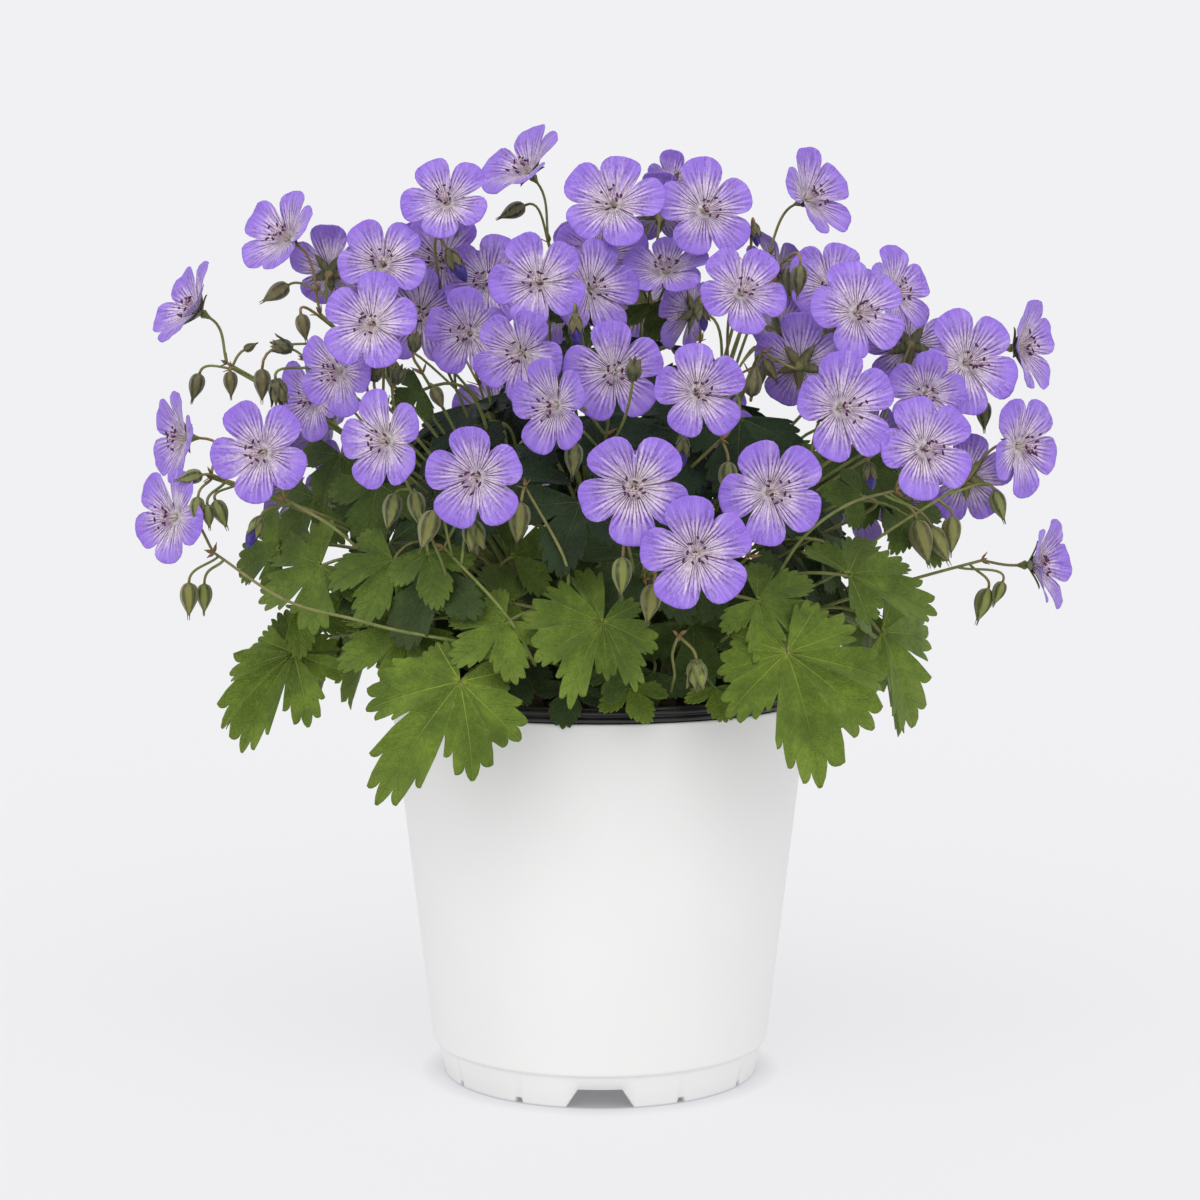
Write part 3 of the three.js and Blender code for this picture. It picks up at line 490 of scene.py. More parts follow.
# The outline follows the white pot's inner face at a gap, turns out over its rim, and comes back inside.
def makeLiner():
    foot = pot["height"] + liner["rest"]
    floorUnder = pot["floorTop"] + liner["rest"]
    lip = [[pot["topRadius"] - inwards * liner["ridge"], between(foot, liner["lipTop"], rise)]
           for inwards, rise in liner["lip"]]

    def outside(z):
        return wallRadius(z) - liner["gap"]

    outline = rounded([
        [axisRadius, floorUnder], [outside(floorUnder), floorUnder], [outside(foot), foot], *lip,
        [outside(liner["lipTop"]) - liner["wall"], liner["lipTop"]],
        [outside(liner["floorTop"]) - liner["wall"], liner["floorTop"]], [axisRadius, liner["floorTop"]],
    ], liner["edgeRound"])
    body = turned(outline, roundAngles(liner["angles"]), floorUnder, liner["floorTop"])
    makePiece("inner_pot_shell", [body], [blackFinish()], ["liner"])


# Rough ground: a sum of waves of many lengths and directions, about as high as the given height.
def rough(x, y, random, waves, shortest, longest, height):
    length = shortest * (longest / shortest) ** random.uniform(0, 1, waves)
    way, phase = random.uniform(0, 2 * math.pi, waves), random.uniform(0, 2 * math.pi, waves)
    total = np.zeros_like(x)
    for n in range(waves):
        along = x * math.cos(way[n]) + y * math.sin(way[n])
        total += np.cos(along * 2 * math.pi / length[n] + phase[n]) * (length[n] / longest) ** 0.6
    return height * total / math.sqrt(waves) * 1.4


# The soil's top rises to the middle by its crown and has mounds and crumbs. It falls away at the edge,
# and rings down the side close the body at the bottom. Lumps lie loose on it.
def makeSoil():
    random = np.random.default_rng(31)
    angles = roundAngles(soil["angles"])[None, :]
    under = liner["floorTop"] + liner["rest"]
    edge, foot = (wallRadius(z) - 2 * liner["gap"] - liner["wall"] for z in (soil["top"], under))
    radius = np.linspace(1, edge - soil["edgeMargin"], soil["rings"])[:, None] * np.ones_like(angles)
    x, y = radius * np.cos(angles), radius * np.sin(angles)
    crumbs = np.abs(rough(x, y, random, **soil["crumbs"]))
    height = soil["top"] + soil["crown"] * (1 - radius / edge) + rough(x, y, random, **soil["mounds"])
    height = np.minimum(height + crumbs, soil["top"] + soil["highest"])
    height = height - soil["edgeDrop"] * eased(edge - soil["edgeWidth"], edge, radius)
    top = triples(x, y, height)
    down = np.linspace(0.02, 1, soil["sideRings"])[:, None]
    sideRadius = between(edge, foot, down)
    sideHeight = between(soil["top"] - 2, under, down)
    side = triples(sideRadius * np.cos(angles), sideRadius * np.sin(angles), sideHeight)
    forms = [capped(np.concatenate([top, side]), top[0].mean(axis=0), [0, 0, under], (0, 0, 0))]
    s = np.linspace(-1, 1, 5)
    for _ in range(soil["lumps"]):
        distance = (edge - soil["lumpMargin"]) * math.sqrt(random.uniform(0, 1))
        angle = random.uniform(0, 2 * math.pi)
        size = random.uniform(*soil["lumpSize"])
        x, y = distance * math.cos(angle), distance * math.sin(angle)
        middle = np.array([x, y, soil["top"] + soil["lumpRise"]])
        way = unit(random.normal(0, 1, 3) * np.array([1, 1, 0.35]))      # most lie flat
        spine = middle + s[:, None] * size * way * random.uniform(*soil["lumpStretch"])
        forms.append(rod(spine, size * 0.6 * np.sqrt(1.1 - s ** 2) * random.uniform(0.75, 1.15, 5), 5))
    makePiece("soil_bed", forms, [soilFinish()], ["soil"])


makePot()
makeLiner()
makeSoil()
print("pots and soil made")

# The flowering sprays at the front, from the left to the right in bands.
# fork: the point where the spray's stem divides.
# via: points that the stem passes on its way up, where it comes in front of the leaves.
# blooms: x, y, z of the throat, diameter, turn to the right, tilt upwards, roll of the first petal, and
# the cup's depth where a bloom has its own.
# buds: x, y, z of the top, length, lean to the right, and the stage where a bud isn't just closed.
frontSprays = [
    dict(fork=[-148, -30, 209],
         via=[[-28, -74, 176], [-50, -94, 182], [-72, -95, 186], [-88, -94, 190], [-115, -82, 196]],
         blooms=[[-161, -35, 223, 38, -40, 5, -44]],
         buds=[[-157, -34, 198, 11.5, -1], [-152, -28, 197, 10, -1]]),
    dict(fork=[-146, 0, 281], blooms=[[-157, 4, 301, 37, -60, 30, 20, 0.5]],
         buds=[[-157, 2, 277, 10, -16], [-144, -6, 278, 9, 2]]),
    dict(fork=[-147, -38, 239], blooms=[[-161, -6, 252, 38, -58, 3, 15, 0.42]],
         buds=[[-150, -42, 239.5, 9, -78], [-145.5, -42, 230, 10, 22]]),
    dict(fork=[-118, -52, 231], via=[[-66, -46, 190], [-83, -62, 207], [-98, -74, 222]],
         blooms=[[-124, -62, 249, 39.5, -20, 2, -28]], buds=[[-126, -60, 225, 10, -24, "opening"]]),
    dict(fork=[-107, -22, 300],
         blooms=[[-118, -25, 328, 38, -42, 27, 5, 0.48], [-104, -13, 316, 36, 172, 24, 0]],
         buds=[[-113, -36, 300, 9, 11], [-131, -10, 279, 11, -1]]),
    dict(fork=[-86, -40, 250],
         blooms=[[-95, -66, 279, 33.5, -35, -5, -50], [-82, -84, 296, 36.5, -8, 12, 10],
                 [-108, -28, 268, 34, -40, 0, 20]]),
    dict(fork=[-62, -18, 285], buds=[[-57, -48, 324, 11, 30, "opening"]],
         blooms=[[-81, -47, 318, 35, 0, 20, -30], [-60, -26, 320, 37, -10, 10, -40],
                 [-68, -34, 300, 38, 0, -8, 0]]),
    dict(fork=[-46, -20, 285],
         blooms=[[-57, -44, 341, 34.5, -8, 25, -30], [-48, -62, 293, 34, -12, -8, 0],
                 [-42, -36, 312, 36, 0, 5, 20]]),
    dict(fork=[-56, -94, 216], via=[[-24, -78, 172], [-34, -108, 194]],
         blooms=[[-43, -118, 243, 37.5, -12, -5, -5]],
         buds=[[-59, -102, 230, 13, -19], [-46, -104, 227, 13, 11, "spent"]]),
    dict(fork=[-71, -80, 240], via=[[-50, -68, 186], [-57, -98, 212]],
         blooms=[[-76, -92, 254, 38, -35, 5, -15]],
         buds=[[-74, -84, 235, 12, -14], [-67, -88, 236, 11, 8]]),
    dict(fork=[-27, -94, 238], via=[[-8, -66, 184], [-11, -97, 200], [-13, -106, 214]],
         buds=[[-28, -104, 233, 13, -6]]),
    dict(fork=[2, -80, 256], blooms=[[-15, -106, 267.5, 36, -40, -5, -10], [5, -88, 279, 37, -3, 2, -5]],
         buds=[[-9, -98, 254, 11, -4], [11.5, -104, 276, 9, 174, "spent"]]),
    dict(fork=[-20, -45, 270],
         blooms=[[-28, -88, 286, 35.5, -18, -12, -45], [-22, -74, 311, 36, -10, 12, -25]]),
    dict(fork=[6, -24, 284], blooms=[[-4, -55, 309, 38, 30, 10, 15], [0, -28, 322, 36, 5, 20, 0]]),
    dict(fork=[20, -12, 300],
         blooms=[[5, -46, 340, 38.5, -5, 22, 15], [39, -40, 338, 39, 12, 15, -6],
                 [25, -40, 315, 34, -10, 50, 0], [23, -16, 338, 34, 175, 40, 0],
                 [28, 6, 350, 27, 150, 20, 0]]),
    dict(fork=[-20, -2, 328], blooms=[[-27, -5, 354, 38, -46, 42, -20, 0.48]],
         buds=[[-29, -4, 342, 10, -64]]),
    dict(fork=[65, -4, 322], blooms=[[79, -5, 344, 38, 48, 20, -5, 0.5]], buds=[[75, -4, 319, 11, -6]]),
    dict(fork=[48, -38, 272], blooms=[[51, -74, 307, 35, 15, 20, -35], [35, -37, 301, 34, -128, 10, 0]]),
    dict(fork=[60, -62, 286], blooms=[[74, -58, 281, 38, 165, 12, 0]], buds=[[55.5, -68, 269.5, 10.5, 172]]),
    dict(fork=[32, -68, 246], blooms=[[34, -106, 272, 35.5, 15, 5, -8], [50, -64, 250, 30, 0, 0, 0]]),
    dict(fork=[16, -92, 205], blooms=[[12, -128, 240, 40.5, -5, -8, -33], [33, -130, 217, 40, 0, -2, -10]],
         buds=[[8, -122, 215, 12, -3], [19, -116, 205, 12.5, -10]]),
    dict(fork=[28, -108, 186], via=[[22, -56, 157], [27, -82, 167], [26, -98, 178]],
         buds=[[34, -116, 178, 11.5, 2, "spent"]]),
    dict(fork=[54, -84, 212], blooms=[[59.5, -112, 237, 39, 15, 0, -24]]),
    dict(fork=[76, -56, 236], blooms=[[86, -90, 266, 42, 22, 3, -8]]),
    dict(fork=[110, -52, 234], via=[[58, -66, 194], [73, -90, 219], [90, -84, 231]],
         blooms=[[117, -82, 251, 38, 15, 8, -20]], buds=[[119, -50, 223, 15, 15], [125, -46, 220, 13, 26]]),
    dict(fork=[108, -24, 248], blooms=[[122, -46, 270, 32, 5, 0, 10], [119, -20, 288, 37, 175, -5, 0]]),
    dict(fork=[88, -20, 272],
         blooms=[[94, -64, 300, 38.5, 18, 15, -14], [87, -34, 309.5, 35.5, 10, 20, 20],
                 [110, -38, 308, 35, 45, 15, 0]]),
    dict(fork=[140, -22, 268], buds=[[147, -24, 267, 10, 2]],
         blooms=[[138, -36, 281.5, 41, 20, 8, -28], [162, -3, 287, 38, 56, 5, 0, 0.5]]),
    dict(fork=[139, -34, 236], via=[[84, -50, 200], [104, -58, 217]],
         blooms=[[158.5, -32, 250, 40, 42, -3, -38], [140, -30, 238, 36, 160, -10, 0]],
         buds=[[150, -36, 233, 10.5, 18], [133, -44, 224, 12.5, -1]]),
    dict(fork=[148, -18, 205], blooms=[[167, -15, 203, 37, 64, 4, 20, 0.62]],
         buds=[[151, -16, 194, 12, -18], [156, -20, 197, 8.5, -21]]),
]
# Sprays that carry only small buds and spent calyces, between the blooms.
budSprays = [
    dict(fork=[44, -88, 255], buds=[[46, -93, 247, 11.5, 0]]),
    dict(fork=[-79, -60, 266], buds=[[-83, -66, 275, 8, 172, "spent"], [-76, -60, 274, 8, 158, "spent"]]),
    dict(fork=[-66, -56, 278], buds=[[-69, -60, 286, 8, 170, "spent"], [-62, -56, 273, 8, 24]]),
    dict(fork=[57, -28, 317], buds=[[58, -36, 334, 7, 8, "opening"]]),
    dict(fork=[97, -64, 254], buds=[[98, -76, 246, 8, 8, "opening"]]),
    dict(fork=[34, -82, 262], buds=[[30, -93, 256, 9, -5, "opening"]]),
    dict(fork=[37, -58, 290], buds=[[37, -76, 303, 7.5, 5, "opening"]]),
    dict(fork=[-5, -66, 282], buds=[[-9, -90, 300, 9.5, 4, "opening"]]),
    dict(fork=[-107, -26, 309], buds=[[-118.5, -26, 311, 10.5, -58]]),
    dict(fork=[-112, -30, 283], buds=[[-117, -30, 286.5, 9, -108, "spent"],
                                      [-122.6, -38, 275.5, 11.5, 12, "spent"]]),
    dict(fork=[-144, -2, 279], buds=[[-139, -2, 286, 5, 118]]),
    dict(fork=[-147, -38, 238], buds=[[-151.3, -46, 231.5, 9, -6], [-148.2, -44, 228.5, 8, 5]]),
    dict(fork=[56, -50, 278], buds=[[60.5, -60, 283.5, 8.5, 30]]),
    dict(fork=[65, -30, 316], buds=[[74, -56, 318, 10.5, -4]]),
]
# Behind, sprays stand in two tiers between their first and last degrees round the pot.
rearTiers = [
    dict(sprays=4, first=8, last=172, forkRadius=88, forkHeight=216, radius=131, height=236, tilt=10),
    dict(sprays=3, first=0, last=180, forkRadius=56, forkHeight=272, radius=92, height=304, tilt=28),
]
rearBunch = dict(blooms=3, step=112, radius=19, diameter=40, fanOut=0.7, scatter=12, firstPetal=216)
rearBud = dict(inwards=4, down=22, turnOn=0.2, length=11)

# Where the leaves stand: x, y, z of the junction, reach of the middle lobe, turn of the face to the
# right, tilt of the face upwards, and the clock angle of the middle lobe as seen on the face. A leaf
# may have its own depth of painted shade as well, from 0 to 1.
frontLeaves = [
    [-116, -45, 172, 42, -15, 30, 212],
    [-50, -106, 169, 52, 0, 25, 215],
    [1, -112, 191, 34, 0, 38, 212],
    [67, -102, 179, 50, 5, 25, 163],
    [105, -62, 182, 40, 42, 14, 158],
    [91, -78, 205, 36, 10, 45, 115],
    [57, -92, 197, 27, 10, 40, 120],
    [-32, -88, 196, 27, -5, 50, 275],
    [-34, -102, 190, 24, -10, 35, 225],
    [-104, -60, 207, 29, -20, 30, 235],
    [-70, -72, 186, 31, -10, 35, 235],
    [-76, -74, 210, 27, -5, 30, 200],
]
frontSmallLeaves = [
    [-32, -80, 212, 22, 0, 30, 65],
    [-114, -44, 190, 25, -10, 35, 100],
    [-62, -92, 214, 21, -5, 25, 165],
    [-121, -46, 212, 24, -30, 20, 250],
    [11, -86, 164, 16.5, 0, 50, 160],
    [42, -83, 164, 14.5, 5, 48, 172],
    [97, -60, 233, 16, 15, 30, 275],
    [117, -40, 224, 23, 30, 35, 150],
    [-100, -18, 246, 22, -20, 20, 205],
    [-112, 2, 228, 26, -25, 20, 215],
    [-84, -40, 236, 25, -10, 25, 190],
    [100, -12, 250, 27, 15, 25, 160],
    [110, 4, 232, 23, 25, 20, 150],
    [62, -52, 250, 27, 5, 25, 175],
    # these leaves carry their own depth of painted shade, the eighth number
    [5, -94, 172, 13, -5, 30, 178, 0.6],
    [-10, -76, 164, 17, -10, 40, 190, 0.8],
    [20, -70, 168, 17, 5, 25, 200, 0.75],
    [-30, -70, 169, 15, -10, 45, 165, 0.85],
    [51, -77, 262, 31, 5, 10, 184, 0.95],
    [84, 28, 232, 27, 30, 15, 195, 0.85],
    [84, 10, 206, 30, 20, 20, 170, 0.8],
    [-92, 26, 226, 30, -30, 15, 175, 0.8],
    [-80, 6, 246, 28, -15, 15, 185, 0.85],
    [-66, -54, 272, 14, -5, 20, 240, 0.7],
    [20, -22, 304, 15, 0, 20, 170, 0.45],
    [-8, -56, 302, 15, 0, 20, 185, 0.6],
]
# Rings of leaves between the first and last degrees round the pot. A scatter is in the ring's own
# terms: shares for the radius and the lobe, millimetres for the height, degrees for the rest.
rearLeaves = dict(count=8, first=-8, last=188, radius=106, height=178, lobe=46, tilt=30)
innerLeaves = dict(count=3, first=-10, last=200, radius=62, height=232, lobe=36, tilt=42)
lowLeaves = dict(count=4, first=0, last=180, radius=50, height=192, lobe=38, tilt=62)
ringScatter = dict(radius=0.2, height=16, lobe=0.2, tilt=12, clock=40, turn=0)
# Leaves that fill the inside of the dome, ring over ring, made dark by painted shade.
fillLeaves = [
    dict(count=9, first=-75, last=205, radius=64, height=190, lobe=32, tilt=32),
    dict(count=16, first=0, last=360, radius=86, height=209, lobe=33, tilt=38),
    dict(count=15, first=14, last=374, radius=80, height=234, lobe=30, tilt=42),
    dict(count=13, first=5, last=365, radius=62, height=257, lobe=29, tilt=48),
    dict(count=7, first=20, last=380, radius=34, height=280, lobe=26, tilt=58),
]
fillScatter = dict(radius=0.42, height=18, lobe=0.35, tilt=36, clock=120, turn=50)

# Lobes of a leaf, clockwise: clock angle from the leaf's own, reach, and reach of the cut after it, the
# last two as shares of the leaf's reach.
fiveLobes = [(-112, 0.72, 0.36), (-56, 0.94, 0.36), (0, 1, 0.36), (56, 0.94, 0.36), (112, 0.72, 0.2)]
threeLobes = [(-72, 0.85, 0.34), (0, 1, 0.34), (72, 0.85, 0.2)]
# Six of the front leaves have lobes of their own, by their place in the list.
ownLobes = {
    0: [(-192, 0.56, 0.3), (-132, 0.41, 0.36), (-105, 0.53, 0.34), (-54, 0.71, 0.3), (-2, 1.0, 0.84),
        (20, 0.94, 0.6), (44, 0.66, 0.42), (80, 0.42, 0.36), (125, 0.5, 0.2)],
    1: [(-140, 0.36, 0.34), (-82, 0.57, 0.5), (-46, 0.68, 0.4), (3, 1.02, 0.4), (44, 0.67, 0.4),
        (115, 0.35, 0.2)],
    2: [(-157, 0.48, 0.3), (-100, 0.62, 0.55), (-60, 0.84, 0.58), (-36, 0.64, 0.48), (-5, 1.0, 0.62),
        (32, 0.79, 0.68), (68, 0.86, 0.6), (96, 0.78, 0.3), (128, 0.8, 0.2)],
    3: [(-129, 0.47, 0.4), (-94, 0.59, 0.38), (-62, 0.76, 0.7), (-36, 0.84, 0.68), (1, 1.0, 0.32),
        (65, 0.62, 0.48), (94, 0.52, 0.4), (129, 0.42, 0.2)],
    4: [(-118, 0.5, 0.4), (-62, 0.86, 0.34), (-4, 1.0, 0.36), (52, 0.55, 0.3)],
    5: [(-150, 0.6, 0.3), (-88, 0.66, 0.45), (-38, 0.74, 0.55), (0, 1.0, 0.45), (50, 0.58, 0.3)],
}
# How much bigger than usual the teeth of a front leaf are, by its place in the list.
ownTeeth = {0: 1.5, 1: 1.35, 2: 1.35, 3: 1.4, 4: 1.5, 5: 1.2, 9: 1.3}

# The shoots: one in the middle and six in a ring, each a woody stock with a main shoot in which its
# stems and petioles rise together.
shoot = dict(
    outer=6, ring=30, innerReach=42, trunkTops=(232, 208), trunkSink=3, trunkLean=1.3,
    stockRadius=4.6, stockDepth=13, stockRise=9, stockSides=14, sides=6, bundle=2.6, riseSteps=8,
    stemRadius=0.88, frontStemRadius=0.64, pedicelRadius=0.56, petioleRadius=0.78,
    stalkPull=0.38, petiolePull=0.3, stalkSpacing=5, leafDrop=12, fillLow=0.3, fillHigh=0.95,
    stemSteps=16, viaSteps=7, stalkSteps=12, petioleSteps=18,
    # the receptacle that the sepals sit on: how far behind the bloom's throat it ends, and its rings
    calyxDepth=5.2, receptacleRise=(1.6, 3.2, 3.9), receptacleRadii=(1.1, 1.9, 1.6),
)
crowns = [(0.0, 0.0)] + [
    (shoot["ring"] * math.cos(angle), shoot["ring"] * math.sin(angle))
    for angle in (math.radians(360 // shoot["outer"] * i - 90) for i in range(shoot["outer"]))]


# A point on a crown's main shoot, by its share of the shoot's length.
def onTrunk(crown, share):
    x, y = crowns[crown]
    lean = between(1, shoot["trunkLean"], share)
    top = shoot["trunkTops"][0 if crown == 0 else 1]
    foot = soil["top"] + shoot["stockRise"] - shoot["trunkSink"]
    return np.array([x * lean, y * lean, between(foot, top, share)])


# The middle crown for a place near the axis, and otherwise the outer one in whose sector it lies.
def nearestCrown(place):
    x, y = place[0], place[1]
    if math.hypot(x, y) < shoot["innerReach"]:
        return 0
    sector = 360 / shoot["outer"]
    return 1 + math.floor((math.degrees(math.atan2(y, x)) + 90) / sector + 0.5) % shoot["outer"]


# A point between two others, by its share of the way across and its share of the rise.
def partWay(start, end, along, rise):
    return between(start, end, np.array([along, along, rise]))


# A stem leans out as it leaves the main shoot and comes up to its fork.
def stemCurve(start, end, count):
    return bezier((start, partWay(start, end, 0.3, 0.5), partWay(start, end, 0.72, 0.8), end), count)


# A smooth curve through all the points. Each stretch is a cubic Bezier curve whose handles are a sixth
# of the way from the point before to the point after.
def through(points, count):
    points = np.array(points, dtype=float)
    handle = np.gradient(points, axis=0) / 3
    stretches = [bezier((a, a + u, b - v, b), count)
                 for a, b, u, v in zip(points, points[1:], handle, handle[1:])]
    return np.concatenate([stretches[0][:1]] + [stretch[1:] for stretch in stretches])


# A stalk leaves a fork towards its bloom and arrives along the bloom's own axis.
def stalkCurve(start, end, arriving, count):
    pull = shoot["stalkPull"] * np.linalg.norm(end - start)
    return bezier((start, partWay(start, end, 0.3, 0.35), end - arriving * pull, end), count)


# A petiole rises from its shoot and comes to its leaf's junction from behind and below.
def petioleCurve(start, junction, lobeWay, out, count):
    pull = shoot["petiolePull"] * np.linalg.norm(junction - start)
    second = junction - lobeWay * pull - out * 0.2 * pull
    return bezier((start, partWay(start, junction, 0.35, 0.75), second, junction), count)


# The lower part of a stem or petiole: it rises beside the others of its shoot and joins their middle
# where it leaves them. Its distance from the middle is bundle * (1 - share^3).
def risePath(branch, random):
    turn = random.uniform(0, 2 * math.pi)
    shares = np.linspace(0, 1, shoot["riseSteps"], endpoint=False)
    middle = np.stack([onTrunk(branch["crown"], share * branch["share"]) for share in shares])
    aside = np.array([math.cos(turn), math.sin(turn), 0])
    return middle + shoot["bundle"] * random.uniform(0.4, 1) * (1 - shares ** 3)[:, None] * aside


# The sprays behind: each spray's blooms stand in an arc, turned away from its middle.
def rearSprays():
    result = []
    for tierIndex, tier in enumerate(rearTiers):
        for n in range(tier["sprays"]):
            degrees = between(tier["first"], tier["last"], (n + 0.5) / tier["sprays"])

            def around(radius, height, onwards=0.0):
                angle = math.radians(degrees) + onwards
                return np.array([radius * math.cos(angle), radius * math.sin(angle), height])

            share = spread(3 * n + 5 * tierIndex)
            middle = around(tier["radius"], tier["height"] + rearBunch["scatter"] * (share - 0.5))
            face = facing(degrees + 90, tier["tilt"])
            ownBlooms = []
            for b in range(rearBunch["blooms"]):
                clock = rearBunch["step"] * (b - (rearBunch["blooms"] - 1) / 2)
                place = onFace(face, middle, np.float64(clock), rearBunch["radius"], 0.0)
                across = math.sin(math.radians(clock)) * rearBunch["radius"] * rearBunch["fanOut"]
                rise = math.cos(math.radians(clock)) * rearBunch["radius"] * rearBunch["fanOut"]
                ownBlooms.append([*place, rearBunch["diameter"], degrees + 90 + across, tier["tilt"] + rise,
                                  clock + rearBunch["firstPetal"]])
            fork = around(tier["forkRadius"], tier["forkHeight"])
            height = tier["height"] - rearBud["down"]
            bud = around(tier["radius"] - rearBud["inwards"], height, rearBud["turnOn"])
            result.append(dict(fork=fork, blooms=ownBlooms, buds=[[*bud, rearBud["length"], 0]]))
    return result


# Leaves in a ring, each a little different from the next, with their middle lobes hanging down.
def leafRing(ring, scatter=ringScatter):
    result = []
    for n in range(ring["count"]):
        angle = math.radians(between(ring["first"], ring["last"], (n + 0.5) / ring["count"]))
        off = spread(n + 2) - 0.5
        far = ring["radius"] * (1 + scatter["radius"] * (spread(2 * n + 1) - 0.5))
        result.append([
            far * math.cos(angle), far * math.sin(angle), ring["height"] + scatter["height"] * off,
            ring["lobe"] * (1 + scatter["lobe"] * off), math.degrees(angle) + 90 + scatter["turn"] * off,
            ring["tilt"] + scatter["tilt"] * off, 180 + scatter["clock"] * (spread(n + 4) - 0.5)])
    return result


leaves = [dict(place=place, lobes=ownLobes.get(n, fiveLobes), teeth=ownTeeth.get(n, 1.0))
          for n, place in enumerate(frontLeaves)]
leaves += [dict(place=place, lobes=fiveLobes) for place in leafRing(rearLeaves)]
leaves += [dict(place=place, lobes=threeLobes)
           for place in frontSmallLeaves + leafRing(innerLeaves) + leafRing(lowLeaves)]

# Low stems and petioles leave the shoot low, and high ones leave it high.
branches = [dict(spray=spray, height=spray["fork"][2], crown=nearestCrown(spray["fork"]))
            for spray in frontSprays + rearSprays() + budSprays]
branches += [dict(leaf=leaf, height=leaf["place"][2] - shoot["leafDrop"], crown=nearestCrown(leaf["place"]))
             for leaf in leaves]
for crown in range(len(crowns)):
    own = sorted((b for b in branches if b["crown"] == crown), key=lambda b: b["height"])
    for i, branch in enumerate(own):
        branch["share"] = (i + 0.5) / len(own)
for ring in fillLeaves:
    for n, place in enumerate(leafRing(ring, fillScatter)):
        leaf = dict(place=place, lobes=fiveLobes if n % 2 else threeLobes, isFill=True)
        share = between(shoot["fillLow"], shoot["fillHigh"], spread(n))
        branches.append(dict(leaf=leaf, crown=nearestCrown(place), share=share))
for branch in branches:
    branch["start"] = onTrunk(branch["crown"], branch["share"])

# Petals of a bloom, as shares of the bloom's radius unless they are in mm.
petal = dict(
    count=5, rays=17, rows=8, thickness=0.28, tipThinner=0.45, width=0.72, clawStart=0.05, clawWidth=0.035,
    firstRay=0.13, lastInner=0.955, cup=0.3, cupEase=0.25, hollow=0.1, twist=0.07, ruffle=0.45, ruffles=5.5,
    notch=0.035, notchWidth=0.16, lengthScatter=0.05, widthScatter=0.04, sway=0.02, droop=0.1,
)


# Half the width of a petal at a share of its length: width * a^0.9 * sqrt(1 - a^2.6).
def petalHalfWidth(a):
    return petal["width"] * a ** 0.9 * np.sqrt(np.maximum(1 - a ** 2.6, 0))


# Petals are fans of rays from a narrow claw to the outline. A point's height above the bloom's face is
# cup * r (1.25 - 0.25 r) + hollow * across^2 + twist * across, with ruffles and a droop near the edge.
# Pattern: turn from the petal's middle line (1 is the side of its sector), share of the radius, seed.
def petalForms(bloom, random):
    x, y, z, diameter, turn, tilt, roll = bloom[:7]
    cup = bloom[7] if len(bloom) > 7 else petal["cup"]
    face = facing(turn, tilt)
    radius = 0.5 * diameter
    q = np.linspace(-1, 1, petal["rays"])
    edge = np.sin(0.5 * math.pi * (1 - np.abs(q) * (1 - petal["firstRay"])))
    t = np.append(np.linspace(0, petal["lastInner"], petal["rows"] - 1), 1)[:, None]
    forms = []
    for k in range(petal["count"]):
        clock = roll + 360 / petal["count"] * k + random.normal(0, 1.2)
        long = 1 + petal["lengthScatter"] * random.uniform(-1, 0.6)
        dent = petal["notch"] * random.uniform(-0.4, 1) * np.exp(-(q / petal["notchWidth"]) ** 2)
        wide = random.uniform(1 - petal["widthScatter"], 1 + petal["widthScatter"])
        along = between(petal["clawStart"], edge * long - dent, t)
        across = between(petal["clawWidth"], petalHalfWidth(edge) * wide * long, t) * np.sign(q)
        across[:, petal["rays"] // 2] = 0
        across = across + petal["sway"] * random.uniform(-1, 1) * along ** 2
        r = np.hypot(along, across)
        angle = np.degrees(np.arctan2(across, along)) / (180 / petal["count"])
        wave = np.sin(angle * petal["ruffles"] + random.uniform(0, 6.3)) * random.uniform(0.4, 1)
        wave = wave + 0.5 * np.sin(angle * 2 * petal["ruffles"] + random.uniform(0, 6.3))
        ease = petal["cupEase"]
        height = cup * random.uniform(0.85, 1.12) * r * (1 + ease - ease * r)
        height = radius * (height + petal["hollow"] * across ** 2 + petal["twist"] * across)
        height = height + petal["ruffle"] * wave * eased(0.45, 1, r)
        height = height - petal["droop"] * radius * random.uniform(0, 1) * eased(0.7, 1.05, r)
        a, b = clockWay(face, clock), clockWay(face, clock + 90)
        grid = np.array([x, y, z]) + radius * (along[..., None] * a + across[..., None] * b)
        grid = grid + height[..., None] * face[0]
        thick = petal["thickness"] * (1 - petal["tipThinner"] * np.broadcast_to(t, r.shape) ** 3)
        forms.append(sheet(grid, thick, triples(angle, r, random.uniform(0, 9))))
    return forms


